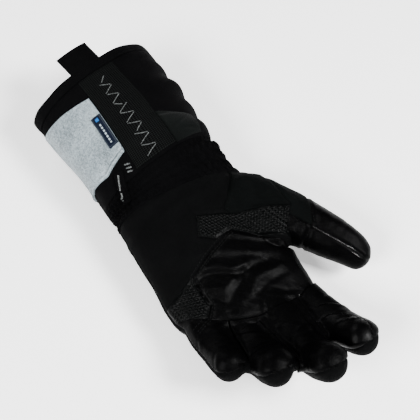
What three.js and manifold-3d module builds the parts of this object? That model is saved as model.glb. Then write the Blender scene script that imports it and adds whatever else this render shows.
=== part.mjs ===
// A padded winter motorcycle glove for the left hand, lying on its back with the palm up.
// Millimetres: +X runs from the cuff's opening to the fingertips, +Y to the thumb, +Z out of the palm.
// The cuff, the hand and the five digits are lofted from the tables below, as an outer and an inner
// skin. Their difference is the wall, and the wall is cut along the seams into the sewn panels.

import * as THREE from "three";
import Module from "manifold-3d";
import { mergeVertices } from "three/addons/utils/BufferGeometryUtils.js";

const wasm = await Module();
wasm.setup();

// Walls and gaps
const CUFF_WALL = 3;
const HAND_WALL = 2.6;
const SEAM_GAP = 0.36;
const PANEL_THICK = 1.1;
const TAG_THICK = 0.9;
const SINK = 0.8;
const BINDING_PROUD = 1.2;
const BINDING_LAP = 0.8;

// Lengths along the arm, measured from the cuff's opening
const HEM_LENGTH = 9;
const CUFF_END = 108;
const WRIST_PIVOT = 135;
const BAND_END = 139;
const CUFF_REACH = 150;
const WRIST_BLEND_END = 143;
const TAB_LENGTH = 20;
const TAB_THICK = 3;

// The hand turns away from the thumb at the wrist, and leans a little about its own length
const HAND_TURN = -11.4;
const HAND_LEAN = -5;
const WRIST_POINT = [WRIST_PIVOT, -2, 30];
const REST_HEIGHT = 2.5;

// Sections of the cuff: where each one is, its centre, its half sizes across, palm side and back, and
// the power of its oval, 2 for a plain ellipse and more for a squarer one
const CUFF_SECTIONS = [
  { along: 0, sideways: 4, height: 37, halfWidth: 61.5, palmRise: 36, backDrop: 37, power: 1.9 },
  { along: 40, sideways: 2, height: 36, halfWidth: 59.5, palmRise: 36, backDrop: 36, power: 2.1 },
  { along: 80, sideways: -2, height: 34.5, halfWidth: 57.5, palmRise: 34, backDrop: 34.5, power: 2.3 },
  { along: 118, sideways: -7, height: 31, halfWidth: 56, palmRise: 30, backDrop: 31, power: 2.4 },
  { along: 150, sideways: -9, height: 30, halfWidth: 55, palmRise: 29, backDrop: 30, power: 2.4 },
];

// Sections of the hand, in the hand's own frame with its origin at the wrist point
const HAND_SECTIONS = [
  { along: -30, sideways: -6, height: 0, halfWidth: 56, palmRise: 29, backDrop: 29, power: 2.4 },
  { along: -8, sideways: -5.5, height: 0, halfWidth: 57, palmRise: 29, backDrop: 29, power: 2.4 },
  { along: 14, sideways: -4.5, height: -2, halfWidth: 59.5, palmRise: 28, backDrop: 27, power: 2.4 },
  { along: 42, sideways: -4, height: -3, halfWidth: 60, palmRise: 25, backDrop: 26, power: 2.3 },
  { along: 70, sideways: -4, height: -4, halfWidth: 59, palmRise: 23, backDrop: 25, power: 2.3 },
  { along: 100, sideways: -4.7, height: -5, halfWidth: 57.5, palmRise: 20, backDrop: 23, power: 2.3 },
  { along: 132, sideways: -5.5, height: -6, halfWidth: 55, palmRise: 16, backDrop: 18, power: 2.4 },
];
const HAND_START = -30;
const HAND_LENGTH = 132;

// The knuckle line is an arch: the sides of the hand end this much sooner than its middle
const ARCH_DEPTH = 24;
const ARCH_START = 50;
const ARCH_MIDDLE = 12;
const ARCH_REACH = 66;
const KNUCKLE_ROUND = 6;

// Digits, in the hand's frame: root, heading, the bend and length of each bone, and the radii at the
// root, the two joints and the tip. Twist turns the palm side of a digit about its own length.
const DIGITS = {
  index: {
    root: [98.5, 39.7, -11.7], heading: 8.8, twist: 0,
    bends: [21, 20, 17], lengths: [53, 30.5, 26], radii: [14.5, 14.5, 14, 12.5],
  },
  middle: {
    root: [103, 11.4, -2.3], heading: 2.4, twist: 0,
    bends: [13.5, 41, 8], lengths: [57, 34.5, 26.5], radii: [14.5, 14.5, 14, 12.5],
  },
  ring: {
    root: [94.5, -15.6, -13], heading: -2.9, twist: 0,
    bends: [24, 27, 8.5], lengths: [52.5, 32, 26], radii: [14.5, 14, 13.5, 12],
  },
  little: {
    root: [82, -42.4, -4.2], heading: -2.7, twist: 0,
    bends: [8, 23, 13], lengths: [42, 26, 23], radii: [13.5, 13.5, 12.5, 11],
  },
  thumb: {
    root: [26, 39.2, 11], heading: 33.5, twist: 113,
    bends: [0, -4, -6], lengths: [43, 40, 34], radii: [20, 20, 17.5, 13],
  },
};
const FINGERS = ["index", "middle", "ring", "little"];

// Fineness of the lofts: points round a section and rows along, coarser on the inside
const AROUND_BODY = 32;
const OUTSIDE = { aroundDigit: 14, perBone: 3, aroundHand: 32, handRows: 8, capAngles: [32, 60, 90] };
const INSIDE = { aroundDigit: 8, perBone: 2, aroundHand: 20, handRows: 5, capAngles: [45, 90] };
const SEAM_STEPS = 10;
const SPINE_STEP = 2;
const ROOT_SHARES = [1, 0.75];

// Sizes of the tools that cut the walls, each well past the skin that it cuts
const PRISM_BOTTOM = -10;
const PRISM_HEIGHT = 120;
const HAND_CUT_ACROSS = 90;
const HAND_CUT_UP = 60;
const DIGIT_CUT_START = -6;
const DIGIT_CUT_PAST_TIP = 18;
const DIGIT_CUT_UP = 6;
const DIGIT_CUT_ACROSS = 14;
const HOLLOW_OVERLAP = 6;
const SHARPEST_CORNER = 0.4;
const TIP_FULLNESS = 0.6;

const degrees = THREE.MathUtils.degToRad;

// Places in the hand's frame, turned and carried to the wrist
const handFrame = new THREE.Matrix4()
  .makeTranslation(...WRIST_POINT)
  .multiply(new THREE.Matrix4().makeRotationZ(degrees(HAND_TURN)))
  .multiply(new THREE.Matrix4().makeRotationX(degrees(HAND_LEAN)));

// A smooth curve through each column of a section table, read at any place along it
function sectionReader(sections) {
  const columns = ["sideways", "height", "halfWidth", "palmRise", "backDrop", "power"];
  const places = sections.map((section) => section.along);
  const values = sections.flatMap((section) => columns.map((column) => section[column]));
  const curve = new THREE.CubicInterpolant(places, values, columns.length);
  return (along) => {
    const [sideways, height, halfWidth, palmRise, backDrop, power] = curve.evaluate(along);
    return { sideways, height, halfWidth, palmRise, backDrop, power };
  };
}

const cuffSection = sectionReader(CUFF_SECTIONS);
const handSection = sectionReader(HAND_SECTIONS);

// Cloth lies flat on the surface below it: nothing of a skin reaches lower than the resting height
function settled(point, offset) {
  point.z = Math.max(point.z, REST_HEIGHT - Math.min(offset, 0));
  return point;
}

// A point on a section: angle 0 is the thumb side, 90 the palm, 180 the little finger's side
function pointOnSection(along, section, angle, offset) {
  const across = Math.cos(degrees(angle));
  const upward = Math.sin(degrees(angle));
  const bulge = 2 / section.power;
  const depth = (upward > 0 ? section.palmRise : section.backDrop) + offset;
  const width = section.halfWidth + offset;
  return new THREE.Vector3(
    along,
    section.sideways + width * Math.sign(across) * Math.abs(across) ** bulge,
    section.height + depth * Math.sign(upward) * Math.abs(upward) ** bulge,
  );
}

// The body's skin: the cuff's sections pass smoothly into the hand's over the wrist
function bodyPoint(along, angle, offset) {
  const cuff = pointOnSection(along, cuffSection(Math.min(along, CUFF_REACH)), angle, offset);
  const inHand = Math.max(along - WRIST_PIVOT, HAND_START);
  const hand = pointOnSection(inHand, handSection(inHand), angle, offset);
  const arch = THREE.MathUtils.smoothstep(inHand, ARCH_START, HAND_LENGTH) * ARCH_DEPTH;
  hand.x -= arch * ((hand.y - ARCH_MIDDLE) / ARCH_REACH) ** 2;
  hand.applyMatrix4(handFrame);
  const share = THREE.MathUtils.smoothstep(along, CUFF_END, WRIST_BLEND_END);
  return settled(cuff.lerp(hand, share), offset);
}

const digitLength = (digit) => digit.lengths.reduce((sum, length) => sum + length, 0);

// How far a digit has bent, in degrees, at a distance from its root
function bendAt(digit, distance) {
  let start = 0;
  let total = 0;
  digit.bends.forEach((bend, bone) => {
    const share = THREE.MathUtils.clamp((distance - start) / digit.lengths[bone], 0, 1);
    total += bend * share;
    start += digit.lengths[bone];
  });
  return total;
}

// The digit's radius, with a round tip and root, on its skin moved outwards by offset
function radiusAt(digit, distance, offset) {
  const tipRadius = digit.radii[3];
  const rootRadius = digit.radii[0] + offset;
  if (distance < 0) return rootRadius * Math.sqrt(Math.max(1 - (distance / rootRadius) ** 2, 0));
  const domeStart = digitLength(digit) - tipRadius;
  let start = 0;
  let radius = tipRadius;
  digit.lengths.some((length, bone) => {
    const share = (distance - start) / length;
    radius = THREE.MathUtils.lerp(digit.radii[bone], digit.radii[bone + 1], Math.max(share, 0));
    start += length;
    return share <= 1;
  });
  if (distance <= domeStart) return radius + offset;
  const reach = Math.min((distance - domeStart) / (tipRadius + offset), 1);
  return (Math.min(radius, tipRadius + TIP_FULLNESS) + offset) * Math.sqrt(1 - reach * reach);
}

// Centre and directions of a digit's section, found by walking along its spine
function digitFrame(digit, distance) {
  const steps = Math.max(1, Math.ceil(Math.abs(distance) / SPINE_STEP));
  const stride = distance / steps;
  let forwardSum = 0;
  let upSum = 0;
  for (let step = 0; step < steps; step += 1) {
    const bend = degrees(bendAt(digit, (step + 0.5) * stride));
    forwardSum += Math.cos(bend) * stride;
    upSum += Math.sin(bend) * stride;
  }
  const heading = degrees(digit.heading);
  const bend = degrees(bendAt(digit, distance));
  const twist = degrees(digit.twist);
  const level = new THREE.Vector3(Math.cos(heading), Math.sin(heading), 0);
  const upright = new THREE.Vector3(0, 0, 1);
  const centre = new THREE.Vector3(...digit.root)
    .addScaledVector(level, forwardSum)
    .addScaledVector(upright, upSum);
  const across = new THREE.Vector3(-Math.sin(heading), Math.cos(heading), 0);
  const lift = upright.clone().multiplyScalar(Math.cos(bend)).addScaledVector(level, -Math.sin(bend));
  const side = across.clone().multiplyScalar(Math.cos(twist)).addScaledVector(lift, Math.sin(twist));
  const palmward = lift.multiplyScalar(Math.cos(twist)).addScaledVector(across, -Math.sin(twist));
  return { centre, side, palmward };
}

// A point on a digit's skin: angle 90 is its palm side
function digitPoint(digit, distance, angle, offset) {
  const { centre, side, palmward } = digitFrame(digit, distance);
  const radius = radiusAt(digit, distance, offset);
  centre
    .addScaledVector(side, radius * Math.cos(degrees(angle)))
    .addScaledVector(palmward, radius * Math.sin(degrees(angle)))
    .applyMatrix4(handFrame);
  return settled(centre, offset);
}

// Evenly spaced numbers from first to last, both included
function spread(first, last, count) {
  return Array.from({ length: count + 1 }, (_, i) => first + ((last - first) * i) / count);
}

// A closed solid from points and triangles: doubles are merged, empty triangles dropped, faces out
function solidFrom(points, triangles) {
  const loose = new THREE.BufferGeometry();
  loose.setAttribute("position", new THREE.Float32BufferAttribute(points.flatMap((p) => p.toArray()), 3));
  loose.setIndex(triangles.flat());
  const merged = mergeVertices(loose, 1e-4);
  const index = Array.from(merged.index.array);
  const position = merged.getAttribute("position");
  const kept = [];
  let volume = 0;
  const corners = [new THREE.Vector3(), new THREE.Vector3(), new THREE.Vector3()];
  for (let i = 0; i < index.length; i += 3) {
    const [a, b, c] = index.slice(i, i + 3);
    if (a === b || b === c || a === c) continue;
    kept.push([a, b, c]);
    corners.forEach((corner, k) => corner.fromBufferAttribute(position, [a, b, c][k]));
    volume += corners[0].dot(corners[1].clone().cross(corners[2]));
  }
  const facing = volume < 0 ? kept.map(([a, b, c]) => [a, c, b]) : kept;
  return new wasm.Manifold(new wasm.Mesh({
    numProp: 3,
    vertProperties: new Float32Array(position.array),
    triVerts: new Uint32Array(facing.flat()),
  }));
}

// Skins closed loops of points one after another, with a fan over each end
function loft(loops) {
  const count = loops[0].length;
  const points = loops.flat();
  const triangles = [];
  for (let i = 0; i + 1 < loops.length; i += 1) {
    for (let j = 0; j < count; j += 1) {
      const k = (j + 1) % count;
      const [a, b, c, d] = [i * count + j, i * count + k, (i + 1) * count + k, (i + 1) * count + j];
      triangles.push([a, b, c], [a, c, d]);
    }
  }
  [0, loops.length - 1].forEach((end) => {
    const middle = new THREE.Vector3();
    loops[end].forEach((point) => middle.addScaledVector(point, 1 / count));
    points.push(middle);
    const hub = points.length - 1;
    for (let j = 0; j < count; j += 1) {
      const edge = [end * count + j, end * count + ((j + 1) % count)];
      triangles.push(end === 0 ? [hub, edge[1], edge[0]] : [hub, edge[0], edge[1]]);
    }
  });
  return solidFrom(points, triangles);
}

// A wall between two offsets of a surface, over rows and columns of its two parameters. Closed walls
// run all the way round, and the others get a side at each end of a row.
function wall(surface, rows, columns, inner, outer, closed = false) {
  const width = columns.length;
  const layer = rows.length * width;
  const points = [outer, inner].flatMap((offset) => (
    rows.flatMap((row) => columns.map((column) => surface(row, column, offset)))
  ));
  const at = (side, i, j) => side * layer + i * width + (j % width);
  const triangles = [];
  const quad = (a, b, c, d) => triangles.push([a, b, c], [a, c, d]);
  const last = rows.length - 1;
  const spans = closed ? width : width - 1;
  for (let j = 0; j < spans; j += 1) {
    for (let i = 0; i < last; i += 1) {
      quad(at(0, i, j), at(0, i, j + 1), at(0, i + 1, j + 1), at(0, i + 1, j));
      quad(at(1, i, j), at(1, i + 1, j), at(1, i + 1, j + 1), at(1, i, j + 1));
    }
    quad(at(0, 0, j), at(1, 0, j), at(1, 0, j + 1), at(0, 0, j + 1));
    quad(at(0, last, j), at(0, last, j + 1), at(1, last, j + 1), at(1, last, j));
  }
  if (!closed) {
    for (let i = 0; i < last; i += 1) {
      quad(at(0, i, 0), at(0, i + 1, 0), at(1, i + 1, 0), at(1, i, 0));
      quad(at(0, i, spans), at(1, i, spans), at(1, i + 1, spans), at(0, i + 1, spans));
    }
  }
  return solidFrom(points, triangles);
}

// A four-cornered piece of cloth on the body's skin. Each corner is a place along and an angle.
function patch(corners, inner, outer, rows, columns) {
  const surface = (s, t, offset) => {
    const [along, angle] = [0, 1].map((k) => THREE.MathUtils.lerp(
      THREE.MathUtils.lerp(corners.startLow[k], corners.startHigh[k], t),
      THREE.MathUtils.lerp(corners.endLow[k], corners.endHigh[k], t),
      s,
    ));
    return bodyPoint(along, angle, offset);
  };
  return wall(surface, spread(0, 1, rows), spread(0, 1, columns), inner, outer);
}

// A straight prism through the palm over an outline given in the hand's frame
function palmPrism(outline, grow = 0) {
  const shape = new THREE.Shape(grown(outline, grow).map(([x, y]) => new THREE.Vector2(x, y)));
  const geometry = new THREE.ExtrudeGeometry(shape, { depth: PRISM_HEIGHT, bevelEnabled: false });
  geometry.applyMatrix4(new THREE.Matrix4().makeTranslation(0, 0, PRISM_BOTTOM).premultiply(handFrame));
  const position = geometry.getAttribute("position");
  const points = Array.from({ length: position.count }, (_, i) => (
    new THREE.Vector3().fromBufferAttribute(position, i)
  ));
  const count = points.length / 3;
  return solidFrom(points, Array.from({ length: count }, (_, i) => [3 * i, 3 * i + 1, 3 * i + 2]));
}

// An outline moved outwards by a distance, each corner along the mean of its two edges' normals
function grown(outline, distance) {
  const vectors = outline.map(([x, y]) => new THREE.Vector2(x, y));
  const turn = Math.sign(THREE.ShapeUtils.area(vectors));
  return vectors.map((point, i) => {
    const before = vectors[(i + vectors.length - 1) % vectors.length];
    const after = vectors[(i + 1) % vectors.length];
    const normals = [point.clone().sub(before), after.clone().sub(point)]
      .map((edge) => new THREE.Vector2(edge.y, -edge.x).normalize().multiplyScalar(turn));
    const mean = normals[0].clone().add(normals[1]).normalize();
    const reach = distance / Math.max(mean.dot(normals[0]), SHARPEST_CORNER);
    return [point.x + mean.x * reach, point.y + mean.y * reach];
  });
}

// The digit's skin as a closed solid
function digitSolid(digit, offset, fineness = OUTSIDE) {
  const domeStart = digitLength(digit) - digit.radii[3];
  const boneEnds = [0, digit.lengths[0], digit.lengths[0] + digit.lengths[1], domeStart];
  const straight = boneEnds.slice(1).flatMap((end, bone) => (
    spread(boneEnds[bone], end, fineness.perBone).slice(0, -1)
  ));
  const dome = fineness.capAngles.map((angle) => (
    domeStart + (digit.radii[3] + offset) * Math.sin(degrees(angle))
  ));
  const root = ROOT_SHARES.map((share) => -share * (digit.radii[0] + offset));
  const angles = spread(0, 360, fineness.aroundDigit).slice(0, -1);
  const loops = [...root, ...straight, domeStart, ...dome].map((distance) => (
    angles.map((angle) => digitPoint(digit, distance, angle, offset))
  ));
  return loft(loops);
}

// Everything on one side of the seam that runs along a digit
function digitSide(digit, direction) {
  const length = digitLength(digit) + DIGIT_CUT_PAST_TIP;
  const loops = spread(DIGIT_CUT_START, length, SEAM_STEPS).map((distance) => {
    const { centre, side, palmward } = digitFrame(digit, distance);
    const corner = (across, up) => centre.clone()
      .addScaledVector(side, across * (digit.radii[0] + DIGIT_CUT_ACROSS))
      .addScaledVector(palmward, direction * up)
      .applyMatrix4(handFrame);
    const low = SEAM_GAP / 2;
    const high = digit.radii[0] + DIGIT_CUT_UP;
    return [corner(-1, low), corner(1, low), corner(1, high), corner(-1, high)];
  });
  return loft(loops);
}

// Everything of the hand on the palm side or the back of its side seam
function handSide(direction) {
  const end = HAND_LENGTH + DIGIT_CUT_ACROSS;
  const loops = spread(HAND_START, end, SEAM_STEPS).map((along) => {
    const { height } = handSection(Math.min(along, HAND_LENGTH));
    const corner = (sideways, up) => new THREE.Vector3(along, sideways, height + direction * up)
      .applyMatrix4(handFrame);
    const low = SEAM_GAP / 2;
    const [wide, high] = [HAND_CUT_ACROSS, HAND_CUT_UP];
    return [corner(-wide, low), corner(wide, low), corner(wide, high), corner(-wide, high)];
  });
  return loft(loops);
}

// The hand's skin from the wrist band to the knuckles, which round over at their end
function handSolid(offset, start, fineness = OUTSIDE) {
  const end = WRIST_PIVOT + HAND_LENGTH + offset;
  const angles = spread(0, 360, fineness.aroundHand).slice(0, -1);
  const loops = spread(start, end - KNUCKLE_ROUND, fineness.handRows).map((along) => (
    angles.map((angle) => bodyPoint(along, angle, offset))
  ));
  loops.push(angles.map((angle) => bodyPoint(end, angle, offset - KNUCKLE_ROUND)));
  return loft(loops);
}

// The largest connected body of a solid, without the crumbs that a cut can leave
function largest(solid) {
  return solid.decompose().reduce((best, body) => (body.volume() > best.volume() ? body : best));
}

const aroundBody = spread(0, 360, AROUND_BODY).slice(0, -1);
const handStart = BAND_END + SEAM_GAP;
const { thumb } = DIGITS;
const fingers = FINGERS.map((name) => DIGITS[name]);

// The hand and thumb have one hollow, and the fingers' hollows open into it
const outerHand = handSolid(0, handStart).add(digitSolid(thumb, 0));
const hollow = (digit) => digitSolid(digit, -HAND_WALL, INSIDE);
const innerHand = handSolid(-HAND_WALL, handStart - HOLLOW_OVERLAP, INSIDE).add(hollow(thumb));
const fingerHollows = fingers.map(hollow);
const openHand = outerHand.subtract(innerHand);
const handWall = fingerHollows.reduce((rest, inside) => rest.subtract(inside), openHand);
const grownHand = handSolid(SEAM_GAP, handStart);

// Outlines of the panels seen from above the palm, as places along and across the hand
const LEATHER_OUTLINE = [
  [55, 11], [60, -1], [69, -20], [79, -36], [92, -36], [104, -34], [112, -40], [118, -56], [118, -90],
  [160, -90], [160, 90], [84, 90], [82, 50], [66, 27],
];
const THUMB_GRIP_OUTLINE = [
  [33, -9], [39, 10], [47, 34], [52, 47], [62, 64], [80, 54], [66, 26], [55, 8], [58, -4], [50, -16],
];
const HEEL_GRIP_OUTLINE = [
  [78, -36], [84, -50], [96, -90], [118, -90], [118, -56], [112, -40], [104, -34], [92, -36],
];
const THUMB_OUTLINE = [
  [88, 55.5], [74, 52], [60, 62], [46, 60], [28, 57.5], [10, 58], [10, 130], [180, 170], [180, 62],
];

const [leather, thumbGrip, heelGrip, thumbArea] = [
  LEATHER_OUTLINE, THUMB_GRIP_OUTLINE, HEEL_GRIP_OUTLINE, THUMB_OUTLINE,
].map((outline) => ({ inside: palmPrism(outline), cut: palmPrism(outline, SEAM_GAP) }));

const thumbWall = handWall.intersect(thumbArea.inside);
const palmAndBack = handWall.subtract(thumbArea.cut);
const palmWall = palmAndBack.intersect(handSide(1));

// Patches sewn on the cuff: each corner is a place along and an angle, the palm's middle being 90
const REFLECTIVE_CORNERS = {
  startLow: [28, 110], startHigh: [12, 205], endLow: [87, 107.2], endHigh: [96, 205],
};
const STRIP_CORNERS = {
  startLow: [11, 71.7], startHigh: [11, 109], endLow: [105, 75.7], endHigh: [105, 105.8],
};
const STRETCH_CORNERS = {
  startLow: [68, 38.7], startHigh: [68, 73.3], endLow: [106, 40], endHigh: [106, 75],
};
const TAG_CORNERS = {
  startLow: [46, 110.3], startHigh: [46, 119.7], endLow: [79, 108.7], endHigh: [79, 118.2],
};
const STRAP_CORNERS = {
  startLow: [98, 119], startHigh: [96, 130], endLow: [127, 134], endHigh: [124, 144],
};
const TAB_ANGLES = [78.6, 109];
const TOUCH_PATCH = { from: 64, clear: 5, angles: [55, 150] };

const glove = new THREE.Group();

// Adds a named piece with its own material
function addPiece(name, solid, colour, roughness) {
  const mesh = largest(solid).getMesh();
  const geometry = new THREE.BufferGeometry();
  geometry.setAttribute("position", new THREE.BufferAttribute(new Float32Array(mesh.vertProperties), 3));
  geometry.setIndex(new THREE.BufferAttribute(new Uint32Array(mesh.triVerts), 1));
  const material = new THREE.MeshStandardMaterial({ color: colour, roughness, metalness: 0 });
  const piece = new THREE.Mesh(geometry, material);
  piece.name = name;
  glove.add(piece);
}

const BLACK_LEATHER = 0x0b0b0c;
const BLACK_SHELL = 0x111213;
const BLACK_WEBBING = 0x0d0d0e;
const SILVER_CLOTH = 0xb4bac0;
const BLUE_WOVEN = 0x1c4f8c;

// The cuff: a bound opening with its pull tab, the padded tube, and the gathered band at the wrist
const hemRows = spread(0, HEM_LENGTH, 1);
const hem = wall(bodyPoint, hemRows, aroundBody, -CUFF_WALL - BINDING_LAP, BINDING_PROUD, true);
addPiece("cuff_hem", hem, BLACK_WEBBING, 0.85);
const tabAngles = spread(...TAB_ANGLES, 4);
const tab = wall(bodyPoint, [-TAB_LENGTH, -SEAM_GAP], tabAngles, -TAB_THICK, 0);
addPiece("pull_tab", tab, BLACK_WEBBING, 0.85);
const cuffRows = spread(HEM_LENGTH + SEAM_GAP, CUFF_END, 5);
addPiece("gauntlet_cuff", wall(bodyPoint, cuffRows, aroundBody, -CUFF_WALL, 0, true), BLACK_SHELL, 0.8);
const bandRows = spread(CUFF_END + SEAM_GAP, BAND_END, 4);
addPiece("wrist_band", wall(bodyPoint, bandRows, aroundBody, -CUFF_WALL, 0, true), BLACK_SHELL, 0.85);

// What is sewn on the cuff lies a gap above the skin below it
const skinRows = [...cuffRows, ...bandRows];
const grownCuff = loft(skinRows.map((along) => (
  aroundBody.map((angle) => bodyPoint(along, angle, SEAM_GAP))
)));
const panelTop = SEAM_GAP + PANEL_THICK;
const reflective = patch(REFLECTIVE_CORNERS, -SINK, panelTop, 4, 10).subtract(grownCuff);
const grownReflective = patch(REFLECTIVE_CORNERS, -SINK, panelTop + SEAM_GAP, 4, 10);
const onPanel = [panelTop - SINK, panelTop + SEAM_GAP + TAG_THICK];
addPiece("reflective_panel", reflective, SILVER_CLOTH, 0.55);
const strip = patch(STRIP_CORNERS, -SINK, panelTop, 4, 3).subtract(grownCuff);
addPiece("print_strip", strip, BLACK_WEBBING, 0.7);
const stretch = patch(STRETCH_CORNERS, -SINK, panelTop, 2, 4).subtract(grownCuff);
addPiece("stretch_panel", stretch, BLACK_SHELL, 0.95);
addPiece("woven_tag", patch(TAG_CORNERS, ...onPanel, 2, 1).subtract(grownReflective), BLUE_WOVEN, 0.7);
const strap = patch(STRAP_CORNERS, -SINK, panelTop, 3, 1).subtract(grownCuff);
addPiece("wrist_strap", strap, BLACK_WEBBING, 0.7);

// The hand: its back, and the palm cut along the seams between its panels
addPiece("hand_back", palmAndBack.intersect(handSide(-1)), BLACK_SHELL, 0.8);
addPiece("palm_leather", palmWall.intersect(leather.inside), BLACK_LEATHER, 0.35);
const thumbPatch = palmWall.intersect(thumbGrip.inside).subtract(leather.cut);
addPiece("thumb_grip_patch", thumbPatch, BLACK_LEATHER, 0.6);
const heelPatch = palmWall.intersect(heelGrip.inside).subtract(leather.cut);
addPiece("heel_grip_patch", heelPatch, BLACK_LEATHER, 0.6);
const palmHeel = palmWall.subtract(leather.cut).subtract(thumbGrip.cut).subtract(heelGrip.cut);
addPiece("palm_heel", palmHeel, BLACK_SHELL, 0.8);

// The digits: a leather front and a cloth back, sewn along both sides
Object.entries(DIGITS).forEach(([name, digit]) => {
  const shell = digit === thumb
    ? thumbWall
    : digitSolid(digit, 0).subtract(hollow(digit)).subtract(grownHand);
  addPiece(`${name}_front`, shell.intersect(digitSide(digit, 1)), BLACK_LEATHER, 0.35);
  addPiece(`${name}_back`, shell.intersect(digitSide(digit, -1)), BLACK_SHELL, 0.8);
});

// The patch on the index finger's tip that works a touch screen
const touchSurface = (distance, angle, offset) => digitPoint(DIGITS.index, distance, angle, offset);
const touchRows = spread(TOUCH_PATCH.from, digitLength(DIGITS.index) - TOUCH_PATCH.clear, 4);
const touchAngles = spread(...TOUCH_PATCH.angles, 4);
const touchPatch = wall(touchSurface, touchRows, touchAngles, -SINK, panelTop)
  .subtract(digitSolid(DIGITS.index, SEAM_GAP));
addPiece("index_touch_patch", touchPatch, BLACK_LEATHER, 0.3);

// The origin is under the middle of the glove, on the surface that it lies on
glove.updateMatrixWorld(true);
const box = new THREE.Box3().setFromObject(glove, true);
const middle = box.getCenter(new THREE.Vector3());
glove.position.set(-middle.x, -middle.y, -box.min.z);
glove.updateMatrixWorld(true);

export default glove;
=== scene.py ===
from collections import namedtuple

import bpy
import numpy as np
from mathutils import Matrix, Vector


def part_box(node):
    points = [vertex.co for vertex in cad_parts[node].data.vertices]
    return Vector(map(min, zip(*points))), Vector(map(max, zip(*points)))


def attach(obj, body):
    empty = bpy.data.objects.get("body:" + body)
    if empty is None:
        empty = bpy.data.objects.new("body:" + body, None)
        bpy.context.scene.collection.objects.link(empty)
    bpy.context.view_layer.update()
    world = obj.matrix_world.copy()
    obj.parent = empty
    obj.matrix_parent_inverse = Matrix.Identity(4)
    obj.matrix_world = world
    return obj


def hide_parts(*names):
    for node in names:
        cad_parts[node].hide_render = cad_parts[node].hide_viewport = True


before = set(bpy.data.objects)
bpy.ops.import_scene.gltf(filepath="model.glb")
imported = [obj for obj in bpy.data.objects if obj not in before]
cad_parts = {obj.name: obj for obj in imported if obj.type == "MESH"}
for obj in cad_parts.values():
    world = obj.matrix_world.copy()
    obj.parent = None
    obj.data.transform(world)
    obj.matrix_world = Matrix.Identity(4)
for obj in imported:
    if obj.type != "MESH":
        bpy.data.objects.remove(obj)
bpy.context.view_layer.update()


# Form of the cuff.
# The cuff is a padded tube that is squarer towards the wrist, where it passes into the hand, which is
# turned 11 degrees away from the thumb. Sizes are in millimetres, along the arm from the cuff's opening.
cuff_sections = np.array([
    # along, sideways, height, half width, palm rise, back drop, power
    (0, 4, 37, 61.5, 36, 37, 1.9),
    (40, 2, 36, 59.5, 36, 36, 2.1),
    (80, -2, 34.5, 57.5, 34, 34.5, 2.3),
    (118, -7, 31, 56, 30, 31, 2.4),
    (150, -9, 30, 55, 29, 30, 2.4),
])
hand_sections = np.array([
    # along from the wrist, sideways, height, half width, palm rise, back drop, power
    (-30, -6, 0, 56, 29, 29, 2.4),
    (-8, -5.5, 0, 57, 29, 29, 2.4),
    (14, -4.5, -2, 59.5, 28, 27, 2.4),
    (42, -4, -3, 60, 25, 26, 2.3),
    (70, -4, -4, 59, 23, 25, 2.3),
    (100, -4.7, -5, 57.5, 20, 23, 2.3),
    (132, -5.5, -6, 55, 16, 18, 2.4),
])
hand_length = 132
wrist_point = np.array([135, -2, 30])
rest_height = 2.5
cuff_radius = 52
hand_turn, hand_lean = np.radians([-11.4, -5])
turning = np.array([
    [np.cos(hand_turn), -np.sin(hand_turn), 0],
    [np.sin(hand_turn), np.cos(hand_turn), 0],
    [0, 0, 1],
])
leaning = np.array([
    [1, 0, 0],
    [0, np.cos(hand_lean), -np.sin(hand_lean)],
    [0, np.sin(hand_lean), np.cos(hand_lean)],
])
hand_axes = turning @ leaning

hem_low, hem_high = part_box("cuff_hem")
hem_middle = (hem_low[1] + hem_high[1]) / 2
origin = np.array([hem_low[0], hem_middle - cuff_sections[0, 1] / 1000, -rest_height / 1000])


def smooth(value, low, high):
    """Rises from 0 at low to 1 at high as 3 t squared minus 2 t cubed."""
    share = np.clip((value - low) / (high - low), 0, 1)
    return share * share * (3 - 2 * share)


def bell(value, middle, width):
    """A bump of height 1: e to the minus square of the distance over the width."""
    return np.exp(-(((value - middle) / width) ** 2))


def from_hand(points):
    """Places in the hand's own axes, turned and carried to the wrist."""
    return points @ hand_axes.T + wrist_point


def to_hand(points):
    """The reverse of from_hand."""
    return (points - wrist_point) @ hand_axes


def read_sections(table, along):
    """Each column as a smooth curve: cubics between the rows, with the slopes of the chords between
    each row's neighbours."""
    places, values = table[:, 0], table[:, 1:]
    slopes = np.gradient(values, places, axis=0)
    along = np.clip(along, places[0], places[-1])
    row = np.clip(np.searchsorted(places, along, side="right") - 1, 0, len(places) - 2)
    span = (places[row + 1] - places[row])[..., None]
    t = (along - places[row])[..., None] / span
    curve = (
        (2 * t**3 - 3 * t**2 + 1) * values[row]
        + (t**3 - 2 * t**2 + t) * span * slopes[row]
        + (3 * t**2 - 2 * t**3) * values[row + 1]
        + (t**3 - t**2) * span * slopes[row + 1]
    )
    return np.moveaxis(curve, -1, 0)


def oval(along, table, angle, offset):
    """A point on a section: an oval with its own power, deeper on one side than the other. Angle 0 is
    the thumb side, 90 the palm and 180 the little finger's side."""
    sideways, height, half_width, palm_rise, back_drop, power = read_sections(table, along)
    across, upward = np.cos(np.radians(angle)), np.sin(np.radians(angle))
    depth = np.where(upward > 0, palm_rise, back_drop) + offset
    y = sideways + (half_width + offset) * np.sign(across) * np.abs(across) ** (2 / power)
    z = height + depth * np.sign(upward) * np.abs(upward) ** (2 / power)
    return np.stack(np.broadcast_arrays(along, y, z), axis=-1)


def arch(sideways):
    """How much sooner than its middle the hand ends: the square of the distance from its middle."""
    return 24 * ((sideways - 12) / 66) ** 2


cuff_reach, hand_start, wrist_blend = 150, -30, (108, 143)


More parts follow.
